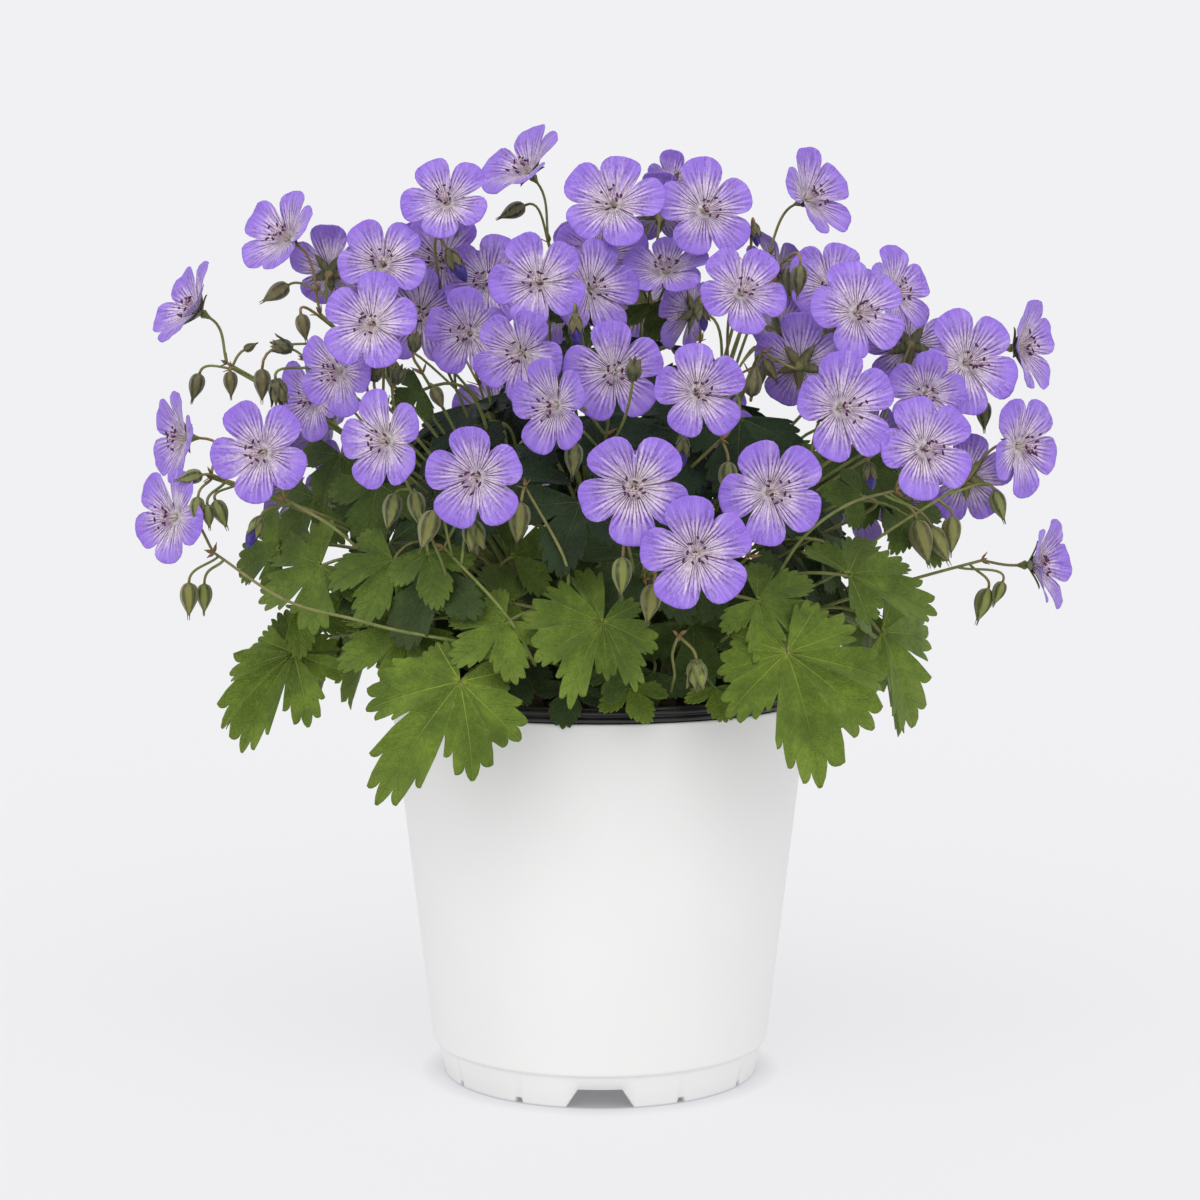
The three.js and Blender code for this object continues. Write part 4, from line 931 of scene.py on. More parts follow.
# Petals: pale in the middle and violet outside, with fine dark veins that run out from the claw
# and fork on their way.
def petalFinish():
    veins = dict(across=4.6, fork=0.34, spread=0.27, wobble=0.6, thin=0.05, thick=0.26, spacing=2.8,
                 fine=0.62)
    shades = colours(
        throat=(230, 225, 196), eye=(243, 234, 230), pale=(231, 214, 236), lilac=(186, 158, 232),
        violet=(163, 130, 229), rim=(152, 116, 220), speckle=(126, 90, 204), deepBloom=(136, 96, 206),
        innerVein=(94, 42, 102), outerVein=(96, 58, 150))
    bands = [(0.0, "throat"), (0.14, "eye"), (0.4, "pale"), (0.64, "lilac"), (0.85, "violet"), (1.0, "rim")]
    p = Paint("petal violet", 0.55,
              **{"Sheen Weight": 0.12, "Sheen Roughness": 0.5, "Specular IOR Level": 0.3})
    turn, r, seed = p.pattern()
    where = p.place()
    # the petal's turn is cut into lanes, with a vein along the middle of each that divides in two
    drift = p.noise(p.vector(turn * 2.4, r * 3.0, seed), 1.0)
    lane = turn * veins["across"] + ((drift - 0.5) * veins["wobble"] + 0.5)
    own = p.rise(p.noise(p.vector(p.maths("FLOOR", lane), seed, 0.0), 1.7, 0.0), 0.25, 0.7)
    aside = abs(p.maths("FRACT", lane) - 0.5)
    branch = abs(aside - p.rise(r, veins["fork"], 0.9, veins["spread"]))
    apart = p.maths("MINIMUM", aside, branch) * r * veins["spacing"]
    broken = p.rise(p.noise(where, 800.0, 3.0), 0.32, 0.62)
    vein = p.fall(apart, veins["thin"], veins["thick"]) * (broken * 0.4 + own * 0.95)
    # fine side veins: the thin lines where a noise drawn out along the petal crosses its middle value
    crossing = abs(p.noise(p.vector(turn * 7.0, r * 2.6, seed), 1.0, 2.0, 0.6) - 0.5)
    vein = p.highest(vein, p.fall(crossing, 0.006, 0.032) * veins["fine"])
    vein = vein * (p.rise(r, 0.1, 0.22) * p.fall(r + (own - 0.5) * 0.5, 0.62, 1.05, 0.8))
    streaks = p.noise(p.vector(turn * 8.0, r * 1.3, seed), 1.0)
    reach = r + (streaks - 0.5) * 0.75 + (p.noise(where, 110.0) - 0.5) * 0.35
    tone = p.ramp(reach, [(position, shades[name]) for position, name in bands])
    tone = p.mix(p.rise(p.noise(where, 1300.0), 0.35, 0.7, 0.25), tone, shades["speckle"])
    deeper = p.rise(p.noise(p.vector(seed, seed, 0.0), 3.0, 0.0), 0.3, 0.7, 0.2)
    tone = p.mix(deeper, tone, shades["deepBloom"])
    line = p.mix(p.rise(r, 0.3, 0.85), shades["innerVein"], shades["outerVein"])
    return p.cover(p.mix(vein * 0.9, tone, line), p.noise(where, 1400.0) * 0.35 - vein, 0.00014)


stamen = dict(
    count=10, steps=6, reach=(2.3, 5.0), rise=(6.6, 9.0), uneven=0.3, lean=1.3, leanFrom=60,
    filament=0.2, foot=0.34, footRing=0.7, antherLength=1.05, antherRadius=0.46,
    styleHeight=8.0, styleRadius=0.42, stigmas=5, stigmaLength=2.2, stigmaRadius=0.27, usualDiameter=40,
)


# Each filament rises from beside the axis and leans out: its distance grows with the 1.7th power of its
# rise. An anther lies across its end. The style stands in the middle and its stigmas bend out.
def stamenForms(bloom, random):
    x, y, z, diameter, turn, tilt, roll = bloom[:7]
    face = facing(turn, tilt)
    middle = np.array([x, y, z])
    size = diameter / stamen["usualDiameter"]
    steps = stamen["steps"]
    t, s = np.linspace(0, 1, steps), np.linspace(-1, 1, steps)
    forms = []
    longSide = random.uniform(0, 360)
    outwards = stamen["lean"] * size * np.clip(x / stamen["leanFrom"], -1, 1) * face[2]
    for k in range(stamen["count"]):
        clock = roll + 360 / stamen["count"] * k + random.normal(0, 9)
        reach = between(*stamen["reach"], random.uniform(0, 1)) * size
        reach = reach * (1 + stamen["uneven"] * math.cos(math.radians(clock - longSide)))
        rise = between(*stamen["rise"], random.uniform(0, 1)) * size
        distance = between(stamen["footRing"], reach, t ** 1.7)
        path = onFace(face, middle, np.full(steps, clock), distance, rise * (1 - 0.12 * t) * t)
        path = path + t[:, None] ** 2 * outwards
        forms.append(rod(path, between(stamen["foot"], stamen["filament"], t), 4, material=0))
        way = unit(random.normal(0, 1, 3) + 0.8 * clockWay(face, clock + 90))
        length = stamen["antherLength"] * size * random.uniform(0.8, 1.2)
        spine = path[-1] + s[:, None] * length * way
        radii = stamen["antherRadius"] * size * np.sqrt(1.05 - s ** 2)
        forms.append(rod(spine, radii, 6, seed=k, material=1))
    high = stamen["styleHeight"] * size
    path = onFace(face, middle, np.zeros(steps), 0 * t, high * (1.12 * t - 0.12))
    forms.append(rod(path, stamen["styleRadius"] * (1.4 - 0.5 * t), 6, material=0))
    for k in range(stamen["stigmas"]):
        clock = roll + 36 + 360 / stamen["stigmas"] * k + random.normal(0, 6)
        long = stamen["stigmaLength"] * size * random.uniform(0.7, 1.1)
        height = high * 0.93 + long * (0.75 * t - 0.6 * t ** 2)
        path = onFace(face, middle, np.full(steps, clock), long * t ** 1.3, height)
        forms.append(rod(path, stamen["stigmaRadius"] * (1 - 0.45 * t), 4, material=0))
    return forms


# Filaments: green at the foot, cream in the middle and purple at the end.
def filamentFinish():
    shades = colours(foot=(206, 212, 178), middle=(222, 208, 204), end=(150, 92, 150),
                     speckle=(190, 160, 180))
    p = Paint("filament cream", 0.5, **{"Specular IOR Level": 0.35})
    share = p.pattern()[0]
    tone = p.ramp(share, [(0.0, shades["foot"]), (0.5, shades["middle"]), (1.0, shades["end"])])
    tone = p.mix(p.rise(p.noise(p.place(), 2500.0), 0.4, 0.7, 0.3), tone, shades["speckle"])
    return p.cover(tone, p.noise(p.place(), 3000.0), 0.00005)


def antherFinish():
    shades = colours(dark=(48, 16, 44), light=(104, 44, 84))
    p = Paint("anther maroon", 0.7)
    grain = p.noise(p.place(), 4200.0, 3.0)
    return p.cover(p.mix(p.rise(grain, 0.35, 0.7), shades["dark"], shades["light"]), grain, 0.0001)


sepal = dict(
    count=5, reach=9.4, halfWidth=1.9, cup=0.25, cupFollows=1.45, under=1.35, thickness=0.32, awn=1.3,
    fold=0.2, rows=9, columns=5, usualDiameter=40,
)


# A lance that ends in a short awn: half width = sin(pi t^0.75)^0.8. Its height is cup * along, with
# fold * |across| for its sides and curl * length * t^2 less towards its tip.
# Pattern: share of the length, how near its side, seed.
def lance(middle, ways, length, halfWidth, thickness, seed, cup=0.0, awn=0.0, fold=0.0, curl=0.0, material=0):
    way, side, out = ways
    t = np.linspace(0, 1, sepal["rows"])[:, None]
    s = np.linspace(-1, 1, sepal["columns"])[None, :]
    across = s * (halfWidth * np.sin(math.pi * np.clip(t * 0.97 + 0.03, 0, 1) ** 0.75) ** 0.8 + 0.14)
    along = length * t + 0 * s
    height = cup * along + fold * np.abs(across) - curl * length * t ** 2
    along = along + awn * t ** 6 * (1 - np.abs(s))
    grid = middle + along[..., None] * way + across[..., None] * side + height[..., None] * out
    pattern = triples(t, 0.6 * np.abs(s) - 0.12, seed)
    return sheet(grid, np.full(grid.shape[:2], thickness), pattern, material)


# Sepals behind a bloom, between its petals. They follow a bloom that is cupped deeper than usual.
def calyxForms(bloom, random):
    x, y, z, diameter, turn, tilt, roll = bloom[:7]
    face = facing(turn, tilt)
    size = diameter / sepal["usualDiameter"]
    deeper = sepal["cupFollows"] * (bloom[7] - petal["cup"]) if len(bloom) > 7 else 0
    base = np.array([x, y, z]) - sepal["under"] * face[0]
    forms = []
    for k in range(sepal["count"]):
        clock = roll + 360 / sepal["count"] * (k + 0.5) + random.normal(0, 3)
        cup = sepal["cup"] * random.uniform(0.7, 1.05) + deeper
        ways = (clockWay(face, clock), clockWay(face, clock + 90), face[0])
        forms.append(lance(base, ways, sepal["reach"] * size, sepal["halfWidth"] * size, sepal["thickness"],
                           random.uniform(0, 1), cup=cup, awn=sepal["awn"], fold=sepal["fold"]))
    return forms


# A bud is closed unless its place names another stage: "opening" shows its petals, and "spent" is an
# empty calyx round its seed vessel. Sizes are shares of the bud's length but for awn and foot, in mm.
bud = dict(
    fatness=0.235, belly=0.38, sides=20, rows=13, ribs=5, ribDepth=0.13, stretch=1.12, flare=0.045, awns=3,
    awnRadius=0.3, hairs=26, hairLength=1.0, hairRadii=(0.07, 0.02),
    coneRadius=0.22, coneLength=1.24, coneStart=0.06, coneFolds=5, coneRows=14, coneSides=24,
    vesselRadius=0.16, vesselTint=0.5, sepals=5, sepalThickness=0.3,
    openingSepals=dict(scatter=0.012, foot=0.3, spread=0.95, long=1.0, half=0.2, awn=1.2, fold=-0.35,
                       curl=(0.46, 0.54)),
    spentSepals=dict(scatter=0.02, foot=0.5, spread=0.85, long=1.05, half=0.26, awn=1.4, fold=-0.25,
                     curl=(0.38, 0.6)),
)
# Small lances at a fork, in a whorl round the stem. Lengths are in mm.
bract = dict(count=3, length=3.6, halfWidth=0.6, thickness=0.28, foot=0.6, awn=1.0, fold=-0.3,
             curl=(-0.1, 0.35))
# The places of these materials in the list that buds and bracts share.
green, russet, hairPale, violet = range(4)


def hangWay(lean):
    return np.array([math.sin(math.radians(lean)), 0, -math.cos(math.radians(lean))])


# A bud's top and length, the way it hangs, and two ways square to that.
def budFrame(place):
    x, y, z, length, lean = place[:5]
    way, side = hangWay(lean), np.array([0.0, 1.0, 0.0])
    return np.array([x, y, z]), length, way, side, np.cross(way, side)


# A closed bud: radius = fatness * length * sin(pi t^p)^0.75 with ribs, drawn out into an awn. The power
# p puts its belly where it belongs. Pattern: share of the length, height of the rib from -1 to 1, seed.
def closedBud(place, random):
    top, length, way, side, other = budFrame(place)
    length = bud["stretch"] * length
    t = np.linspace(0, 1, bud["rows"])[:, None]
    angle = roundAngles(bud["sides"])[None, :] + random.uniform(0, 6)
    power = math.log(0.5) / math.log(bud["belly"])
    swell = np.sin(math.pi * t ** power) ** 0.75 * (1 - 0.22 * eased(0.5, 1, t))
    rib = np.cos(bud["ribs"] * angle + 1.2 * t)
    radius = bud["fatness"] * length * swell * (1 + bud["ribDepth"] * rib) + 0.35 * (1 - t) + 0.1
    rings = top + (t * length)[..., None] * way + radius[..., None] * wayOut(side, other, angle)
    forms = [capped(rings, top, top + way * length, triples(t, rib, random.uniform(0, 1)), green)]
    s = np.linspace(0, 1, 4)[:, None]
    for k in range(bud["awns"]):                       # awns of the sepals, side by side
        aside = wayOut(side, other, 2 * math.pi * (k / bud["awns"] + random.uniform(0, 0.2)))
        awn = top + way * length * (0.84 + 0.3 * s) + aside * (1.0 - 0.2 * s) * bud["flare"] * length
        forms.append(rod(awn, bud["awnRadius"] * (1 - 0.7 * s[:, 0]), 4, tint=1.0, material=green))
    return forms


# Fine hairs that stand off a bud, as slender three-sided spikes.
def hairForms(place, random):
    top, length, way, side, other = budFrame(place)
    forms = []
    for _ in range(bud["hairs"]):
        t = random.uniform(0.05, 0.85)
        aside = wayOut(side, other, random.uniform(0, 2 * math.pi))
        radius = bud["fatness"] * length * math.sin(math.pi * t ** 0.68) ** 0.75 * 0.9
        foot = top + t * length * way + radius * aside
        long = bud["hairLength"] * random.uniform(0.5, 1.1)
        tip = foot + long * unit(aside + way * random.uniform(-0.1, 0.6))
        forms.append(rod(np.stack([foot, tip]), np.array(bud["hairRadii"]), 3, material=hairPale))
    return forms


# Sepals round a bud's axis: they spread from its top and curl back towards the axis.
def budSepals(place, random, shape):
    top, length, way, side, other = budFrame(place)
    forms = []
    for k in range(bud["sepals"]):
        turn = 2 * math.pi * (k / bud["sepals"] + random.uniform(-shape["scatter"], shape["scatter"]))
        aside, across = wayOut(side, other, turn), wayOut(side, other, turn + 0.5 * math.pi)
        ways = (unit(way + shape["spread"] * aside), across, aside)
        forms.append(lance(top + aside * shape["foot"], ways, shape["long"] * length, shape["half"] * length,
                           bud["sepalThickness"], random.uniform(0, 1), awn=shape["awn"], fold=shape["fold"],
                           curl=random.uniform(*shape["curl"]), material=green))
    return forms


# A bud whose petals show: a twisted violet cone, held by sepals that bulge round its upper part.
# Cone radius = coneRadius * length * sin(pi t^1.3)^0.7, with twisted folds. Pattern: fold, share, seed.
def openingBud(place, random):
    top, length, way, side, other = budFrame(place)
    t = np.linspace(0, 1, bud["coneRows"])[:, None]
    angle = roundAngles(bud["coneSides"])[None, :]
    fold = np.cos(bud["coneFolds"] * (angle + t))
    swell = np.sin(math.pi * (0.04 + 0.95 * t ** 1.3)) ** 0.7
    radius = bud["coneRadius"] * length * swell * (1 + 0.12 * fold)
    spine = top + ((bud["coneStart"] + bud["coneLength"] * t) * length)[..., None] * way
    rings = spine + radius[..., None] * wayOut(side, other, angle)
    first, last = rings[0].mean(axis=0), rings[-1].mean(axis=0) + 0.3 * way
    cone = capped(rings, first, last, triples(fold, t, 3.0), violet)
    return [cone] + budSepals(place, random, bud["openingSepals"])


# An empty calyx: sepals round a beaked seed vessel, whose radius falls with the root of its length.
def spentBud(place, random):
    top, length, way, _, _ = budFrame(place)
    t = np.linspace(0, 1, 9)
    radius = bud["vesselRadius"] * length * (1 - t) ** 0.6 + 0.25
    vessel = rod(top + (t * length)[:, None] * way, radius, 8, tint=bud["vesselTint"], material=green)
    return [vessel] + budSepals(place, random, bud["spentSepals"])


def bractForms(at, way, random):
    side = unit(np.cross(way, np.array([0.3, 1.0, 0.2])))
    other = np.cross(way, side)
    forms = []
    for k in range(bract["count"]):
        turn = 2 * math.pi * k / bract["count"] + random.uniform(-0.5, 0.5)
        aside, across = wayOut(side, other, turn), wayOut(side, other, turn + 0.5 * math.pi)
        ways = (unit(0.75 * way + aside), across, aside)
        forms.append(lance(at + aside * bract["foot"], ways, bract["length"] * random.uniform(0.7, 1.15),
                           bract["halfWidth"], bract["thickness"], random.uniform(0, 1), awn=bract["awn"],
                           fold=bract["fold"], curl=random.uniform(*bract["curl"]), material=russet))
    return forms


# Buds and sepals: olive with darker lines along them and reddish tips, greener low on the plant and
# browner near its top.
def budFinish():
    shades = colours(lowFlat=(131, 138, 62), highFlat=(104, 102, 66), lowLine=(64, 76, 36),
                     highLine=(42, 48, 38), down=(150, 148, 108), tip=(118, 78, 54), russet=(124, 104, 66))
    p = Paint("bud olive", 0.6, **{"Specular IOR Level": 0.3, "Sheen Weight": 0.2})
    share, rib, seed = p.pattern()
    where = p.place()
    grain = p.noise(p.place((1.0, 1.0, 0.35)), 900.0, 3.0)
    high = p.rise(p.parts(where)[2], 0.195, 0.285)     # metres above the ground
    flat = p.mix(high, shades["lowFlat"], shades["highFlat"])
    line = p.mix(high, shades["lowLine"], shades["highLine"])
    tone = p.mix(p.rise(rib, -0.3, 0.7), flat, line)
    tone = p.mix(p.rise(grain, 0.42, 0.72, 0.42), tone, shades["down"])
    tone = p.mix(p.rise(share, 0.76, 1.05, 0.5), tone, shades["tip"])
    tone = p.mix(p.rise(seed + p.noise(where, 60.0), 0.9, 1.5, 0.3), tone, shades["russet"])
    return p.cover(tone, grain, 0.0002)


def bractFinish():
    shades = colours(foot=(158, 116, 80), tip=(140, 112, 76), grain=(108, 82, 54))
    p = Paint("bract russet", 0.7)
    share = p.pattern()[0]
    grain = p.noise(p.place(), 700.0, 3.0)
    tone = p.mix(p.rise(share, 0.0, 0.9), shades["foot"], shades["tip"])
    return p.cover(p.mix(p.rise(grain, 0.35, 0.7, 0.6), tone, shades["grain"]), grain, 0.0002)


# Petals still rolled up in a bud: deep violet with darker lines.
def furledFinish():
    shades = colours(foot=(46, 29, 114), end=(63, 43, 142), line=(26, 16, 82))
    p = Paint("furled violet", 0.5, **{"Sheen Weight": 0.2})
    share = p.pattern()[1]
    grain = p.noise(p.place(), 900.0, 3.0)
    tone = p.mix(p.rise(share, 0.3, 0.9), shades["foot"], shades["end"])
    return p.cover(p.mix(p.rise(grain, 0.35, 0.7, 0.7), tone, shades["line"]), grain, 0.0002)


def hairFinish():
    shades = colours(green=(168, 170, 120), white=(206, 204, 170))
    p = Paint("hair pale", 0.6)
    return p.cover(p.mix(p.noise(p.place(), 800.0), shades["green"], shades["white"]))


# Stems: green below, turning reddish where the pattern's tint says so, and brown bark where it is 1.
def stemFinish():
    shades = colours(dark=(98, 112, 50), light=(128, 138, 74), red=(152, 116, 84), barkDark=(48, 38, 28),
                     barkLight=(96, 78, 54), fuzz=(184, 184, 142))
    p = Paint("stem green", 0.55, **{"Specular IOR Level": 0.35})
    share, tint, _ = p.pattern()
    where = p.place()
    blotch = p.noise(where, 160.0, 3.0)
    tone = p.mix(p.rise(blotch, 0.3, 0.7), shades["dark"], shades["light"])
    tone = p.mix(tint * p.rise(blotch * 0.5 + share * 0.7, 0.45, 1.0), tone, shades["red"])
    tone = p.mix(p.rise(tint, 0.9, 1.0), tone, p.mix(blotch, shades["barkDark"], shades["barkLight"]))
    fuzz = p.noise(where, 2600.0)
    tone = p.mix(p.rise(fuzz, 0.5, 0.8, 0.26), tone, shades["fuzz"])
    return p.cover(tone, fuzz, 0.0002)


# Leaf blades. Turns are in degrees, thickness in mm, and the rest are shares of the leaf's reach.
blade = dict(
    thickness=0.5, edgeThinner=0.4, endReach=0.2, endHalf=26, taper=0.38, closeFrom=0.85, toothTurn=9.0,
    toothDepth=0.068, fold=0.2, droop=0.14, wave=0.05, warp=7.0, midrib=0.02, midribWidth=0.03,
    rows=8, toothPoints=[0, 0.03, 0.1, 0.23, 0.41, 0.61, 0.8, 0.94], firstRow=0.02, lastInner=0.965,
    innerRows=4, innerToothPoints=[0, 0.14, 0.5, 0.86], smallReach=24,
    # painted shade: the heights in mm where it starts and where it is full, the most that other leaves get,
    # and the least that fill leaves get
    paintedShadeFrom=185, paintedShadeTo=245, topPaintedShade=0.6, fillPaintedShade=0.6,
)


# Half a lobe's edge, as q, the share of the way from its middle line to the cut beside it, and the reach
# there. It goes down in rounded steps, one for each tooth, which follow 1 - taper q^1.2. Over its share p
# a tooth swells by toothDepth * sin(pi p)^0.45. Close to the cut the reach drops to the cut's own.
def lobeEdge(halfTurn, reach, cut, toothPoints, toothSize, random):
    count = max(round(halfTurn / (blade["toothTurn"] * toothSize)), 1)
    depth = blade["toothDepth"] * toothSize
    u = (np.arange(count + 1)[:, None] + np.array(toothPoints)).ravel()
    u = np.concatenate([[0.5], u[u > 0.51], [count + 1]])
    step = np.minimum(np.floor(u), count)
    p = u - step
    shoulder = max(1 - blade["taper"], min(cut / reach, 0.97))
    ends = between(1, shoulder, np.clip((np.arange(count + 2) - 0.5) / (count + 0.5), 0, 1) ** 1.2)
    deep = depth * random.uniform(0.75, 1.25, count + 1)
    near, far = step.astype(int), step.astype(int) + 1
    crown = between(ends[near], ends[far], eased(0.62, 1, p))
    swell = np.sin(math.pi * np.clip(p, 0, 1)) ** 0.45 - 1
    crown = crown + between(deep[near], depth, np.abs(2 * p - 1)) * swell
    q = (u - 0.5) / (count + 0.5)
    return q, between(reach * crown, cut, eased(blade["closeFrom"], 1, q))


# A palmate leaf as a fan of rays from the junction. A ray's height above the leaf's face is
# distance * fold (q^2 - 1/2) for the lobes' troughs, less droop * distance^2, with slow waves.
# Pattern: |distance across the lobe|, distance along it, both as shares of the reach, and depth of painted
# shade.
def leafForm(place, lobes, random, shade, toothPoints, toothSize, rows):
    x, y, z, reach, turn, tilt, clock = place[:7]
    angles, offs, edges, shares = [], [], [], []
    for i, (lobeClock, lobeLength, cutAfter) in enumerate(lobes):
        length = lobeLength * random.uniform(0.97, 1.03)
        first = i == 0
        last = i == len(lobes) - 1
        before = blade["endHalf"] if first else 0.5 * (lobeClock - lobes[i - 1][0])
        after = blade["endHalf"] if last else 0.5 * (lobes[i + 1][0] - lobeClock)
        cutBefore = blade["endReach"] if first else lobes[i - 1][2]
        leftShare, left = lobeEdge(before, length, cutBefore, toothPoints, toothSize, random)
        rightShare, right = lobeEdge(after, length, cutAfter, toothPoints, toothSize, random)
        keep = slice(0 if first else 1, None)
        off = np.concatenate([-before * leftShare[::-1], after * rightShare[1:]])
        angles.append((lobeClock + off)[keep])
        offs.append(off[keep])
        edges.append(np.concatenate([left[::-1], right[1:]])[keep])
        shares.append(np.concatenate([leftShare[::-1], rightShare[1:]])[keep])
    angle, off = np.concatenate(angles), np.radians(np.concatenate(offs))
    edge, q = np.concatenate(edges), np.concatenate(shares)
    bend = random.uniform(0, 6.3, 4)
    t = np.append(np.linspace(blade["firstRow"], blade["lastInner"], rows - 1), 1)[:, None]
    distance = t * edge
    swung = angle + blade["warp"] * np.sin(np.radians(angle) * 2.3 + bend[0]) * distance ** 2
    along, across = distance * np.cos(off), distance * np.abs(np.sin(off))
    height = blade["fold"] * distance * (q ** 2 - 0.5) - blade["droop"] * distance ** 2
    for size, count, start, power in ((1, 2, bend[1], 2), (0.5, 7, bend[2], 2), (0.25, 19, bend[3], 3)):
        height = height + size * blade["wave"] * np.sin(np.radians(angle) * count + start) * distance ** power
    height = height + blade["midrib"] * distance * (1 - np.exp(-(across / blade["midribWidth"]) ** 2))
    grid = onFace(facing(turn, tilt), np.array([x, y, z]), clock + swung, reach * distance, reach * height)
    thick = blade["thickness"] * (1 - blade["edgeThinner"] * np.broadcast_to(t, distance.shape) ** 4)
    return sheet(grid, thick, triples(across, along, shade))


# Leaves: mottled green with a lighter net of veins that starts in a yellow-green spot. The pattern's
# shade value paints shade: it darkens a leaf towards dark blue-green and dims its veins.
def leafFinish():
    veins = dict(slope=1.15, count=6.5, rib=0.0075, branch=0.06)
    shades = colours(dark=(78, 99, 26), light=(110, 133, 41), fine=(63, 86, 26), rim=(121, 142, 55),
                     shadeDark=(15, 32, 22), shadeLight=(32, 55, 34), vein=(158, 172, 62))
    p = Paint("leaf green", 0.62, **{"Specular IOR Level": 0.22, "Sheen Weight": 0.06})
    across, along, shade = p.pattern()
    where = p.place()
    mottle = p.noise(where, 55.0, 4.0, 0.6)
    fine = p.noise(where, 420.0, 3.0, 0.6)
    tone = p.mix(p.rise(mottle, 0.34, 0.66), shades["dark"], shades["light"])
    tone = p.mix(p.rise(fine, 0.3, 0.75, 0.45), tone, shades["fine"])
    tone = p.mix(p.rise(along, 0.45, 1.0, 0.48), tone, shades["rim"])
    # painted shade: the leaf's shade value mixes in a mottled dark blue-green
    tone = p.mix(shade, tone, p.mix(p.rise(mottle, 0.35, 0.7), shades["shadeDark"], shades["shadeLight"]))
    # the rib runs along the lobe's middle line, branches slope away from it, and a net lies between
    rib = p.fall(across / (veins["rib"] - along * (0.6 * veins["rib"])), 0.5, 1.4)
    lane = (along - across * veins["slope"]) * veins["count"]
    lane = abs(p.maths("FRACT", lane + (p.noise(where, 130.0, 1.0) - 0.5) * 0.5) - 0.5)
    branch = p.fall(lane, 0.4 * veins["branch"], veins["branch"]) * p.fall(across, 0.1, 0.3, 0.8)
    cells = p.value("ShaderNodeTexVoronoi", {"Vector": where, "Scale": 520.0}, feature="DISTANCE_TO_EDGE")
    net = p.fall(cells, 0.02, 0.14)
    spot = 0.75 - p.rise(along, 0.015, 0.06, 0.75)
    light = p.highest(rib * 0.5, branch * 0.16) * p.fall(along, 0.1, 0.85, 0.8)
    # the veins are dimmed where shade is painted
    light = p.highest(light, net * 0.06, spot) * (1.0 - shade * 0.7)
    groove = p.highest(rib, branch * 0.8, net * 0.4)
    return p.cover(p.mix(light, tone, shades["vein"]), fine * 0.5 - groove, 0.0004)


# Rods, leaves and buds are collected for each crown, blooms one by one.
stemForms = [[] for _ in crowns]
leafForms = [[] for _ in crowns]
budForms = [[] for _ in crowns]
bloomForms = []
innerForms = []
random = np.random.default_rng(7)


# A stock stands in the soil: a rod that narrows upwards by a fifth, with a slow swelling.
def addStock(crown):
    x, y = crowns[crown]
    t = np.linspace(0, 1, 8)
    path = triples(x, y, soil["top"] + between(-shoot["stockDepth"], shoot["stockRise"], t))
    radii = shoot["stockRadius"] * (1 - 0.2 * t + 0.05 * np.sin(9 * t))
    stemForms[crown].append(rod(path, radii, shoot["stockSides"], tint=1.0))


# A spray's stem rises with the others of its shoot, leaves it for the fork and goes on into the first
# stalk. The other stalks leave the stem one below the other. Each narrows to the pedicel's radius.
def addSpray(branch):
    spray, crown = branch["spray"], branch["crown"]
    fork = np.array(spray["fork"], dtype=float)
    if "via" in spray:
        stem = through([branch["start"], *spray["via"], fork], shoot["viaSteps"])
    else:
        stem = stemCurve(branch["start"], fork, shoot["stemSteps"])
    stemRadius = shoot["frontStemRadius" if "via" in spray else "stemRadius"]
    backAlongStem = unit(stem[-3] - stem[-1])
    red = random.uniform(0.15, 0.9)
    heads = []
    for place in spray.get("blooms", []):
        out = facing(place[4], place[5])[0]
        heads.append((True, place, np.array(place[:3]) - out * shoot["calyxDepth"], out))
    for place in spray.get("buds", []):
        heads.append((False, place, np.array(place[:3], dtype=float), hangWay(place[4])))
    for i, (isBloom, place, end, arriving) in enumerate(heads):
        start = fork + backAlongStem * shoot["stalkSpacing"] * i
        path = stalkCurve(start, end, arriving, shoot["stalkSteps"])
        if i == 0:
            path = np.concatenate([risePath(branch, random), stem, path[1:]])
        share = np.linspace(0, 1, len(path))
        first = stemRadius if i == 0 else shoot["pedicelRadius"]
        radii = between(first, shoot["pedicelRadius"], np.minimum(share * 1.4, 1))
        tint = red
        if isBloom:
            path = np.concatenate([path, end + arriving * np.array(shoot["receptacleRise"])[:, None]])
            radii = np.concatenate([radii, shoot["receptacleRadii"]])
            tint = red * (1 - eased(0.9, 0.97, np.linspace(0, 1, len(path))))[:, None]
        stemForms[crown].append(rod(path, radii, shoot["sides"], tint=tint, seed=i))
        if isBloom:
            budForms[crown] += calyxForms(place, random)
            bloomForms.append(petalForms(place, random))
            innerForms.append(stamenForms(place, random))
        else:
            make = dict(opening=openingBud, spent=spentBud)[place[5]] if len(place) > 5 else closedBud
            budForms[crown] += make(place, random) + hairForms(place, random)
    budForms[crown] += bractForms(fork, -backAlongStem, random)
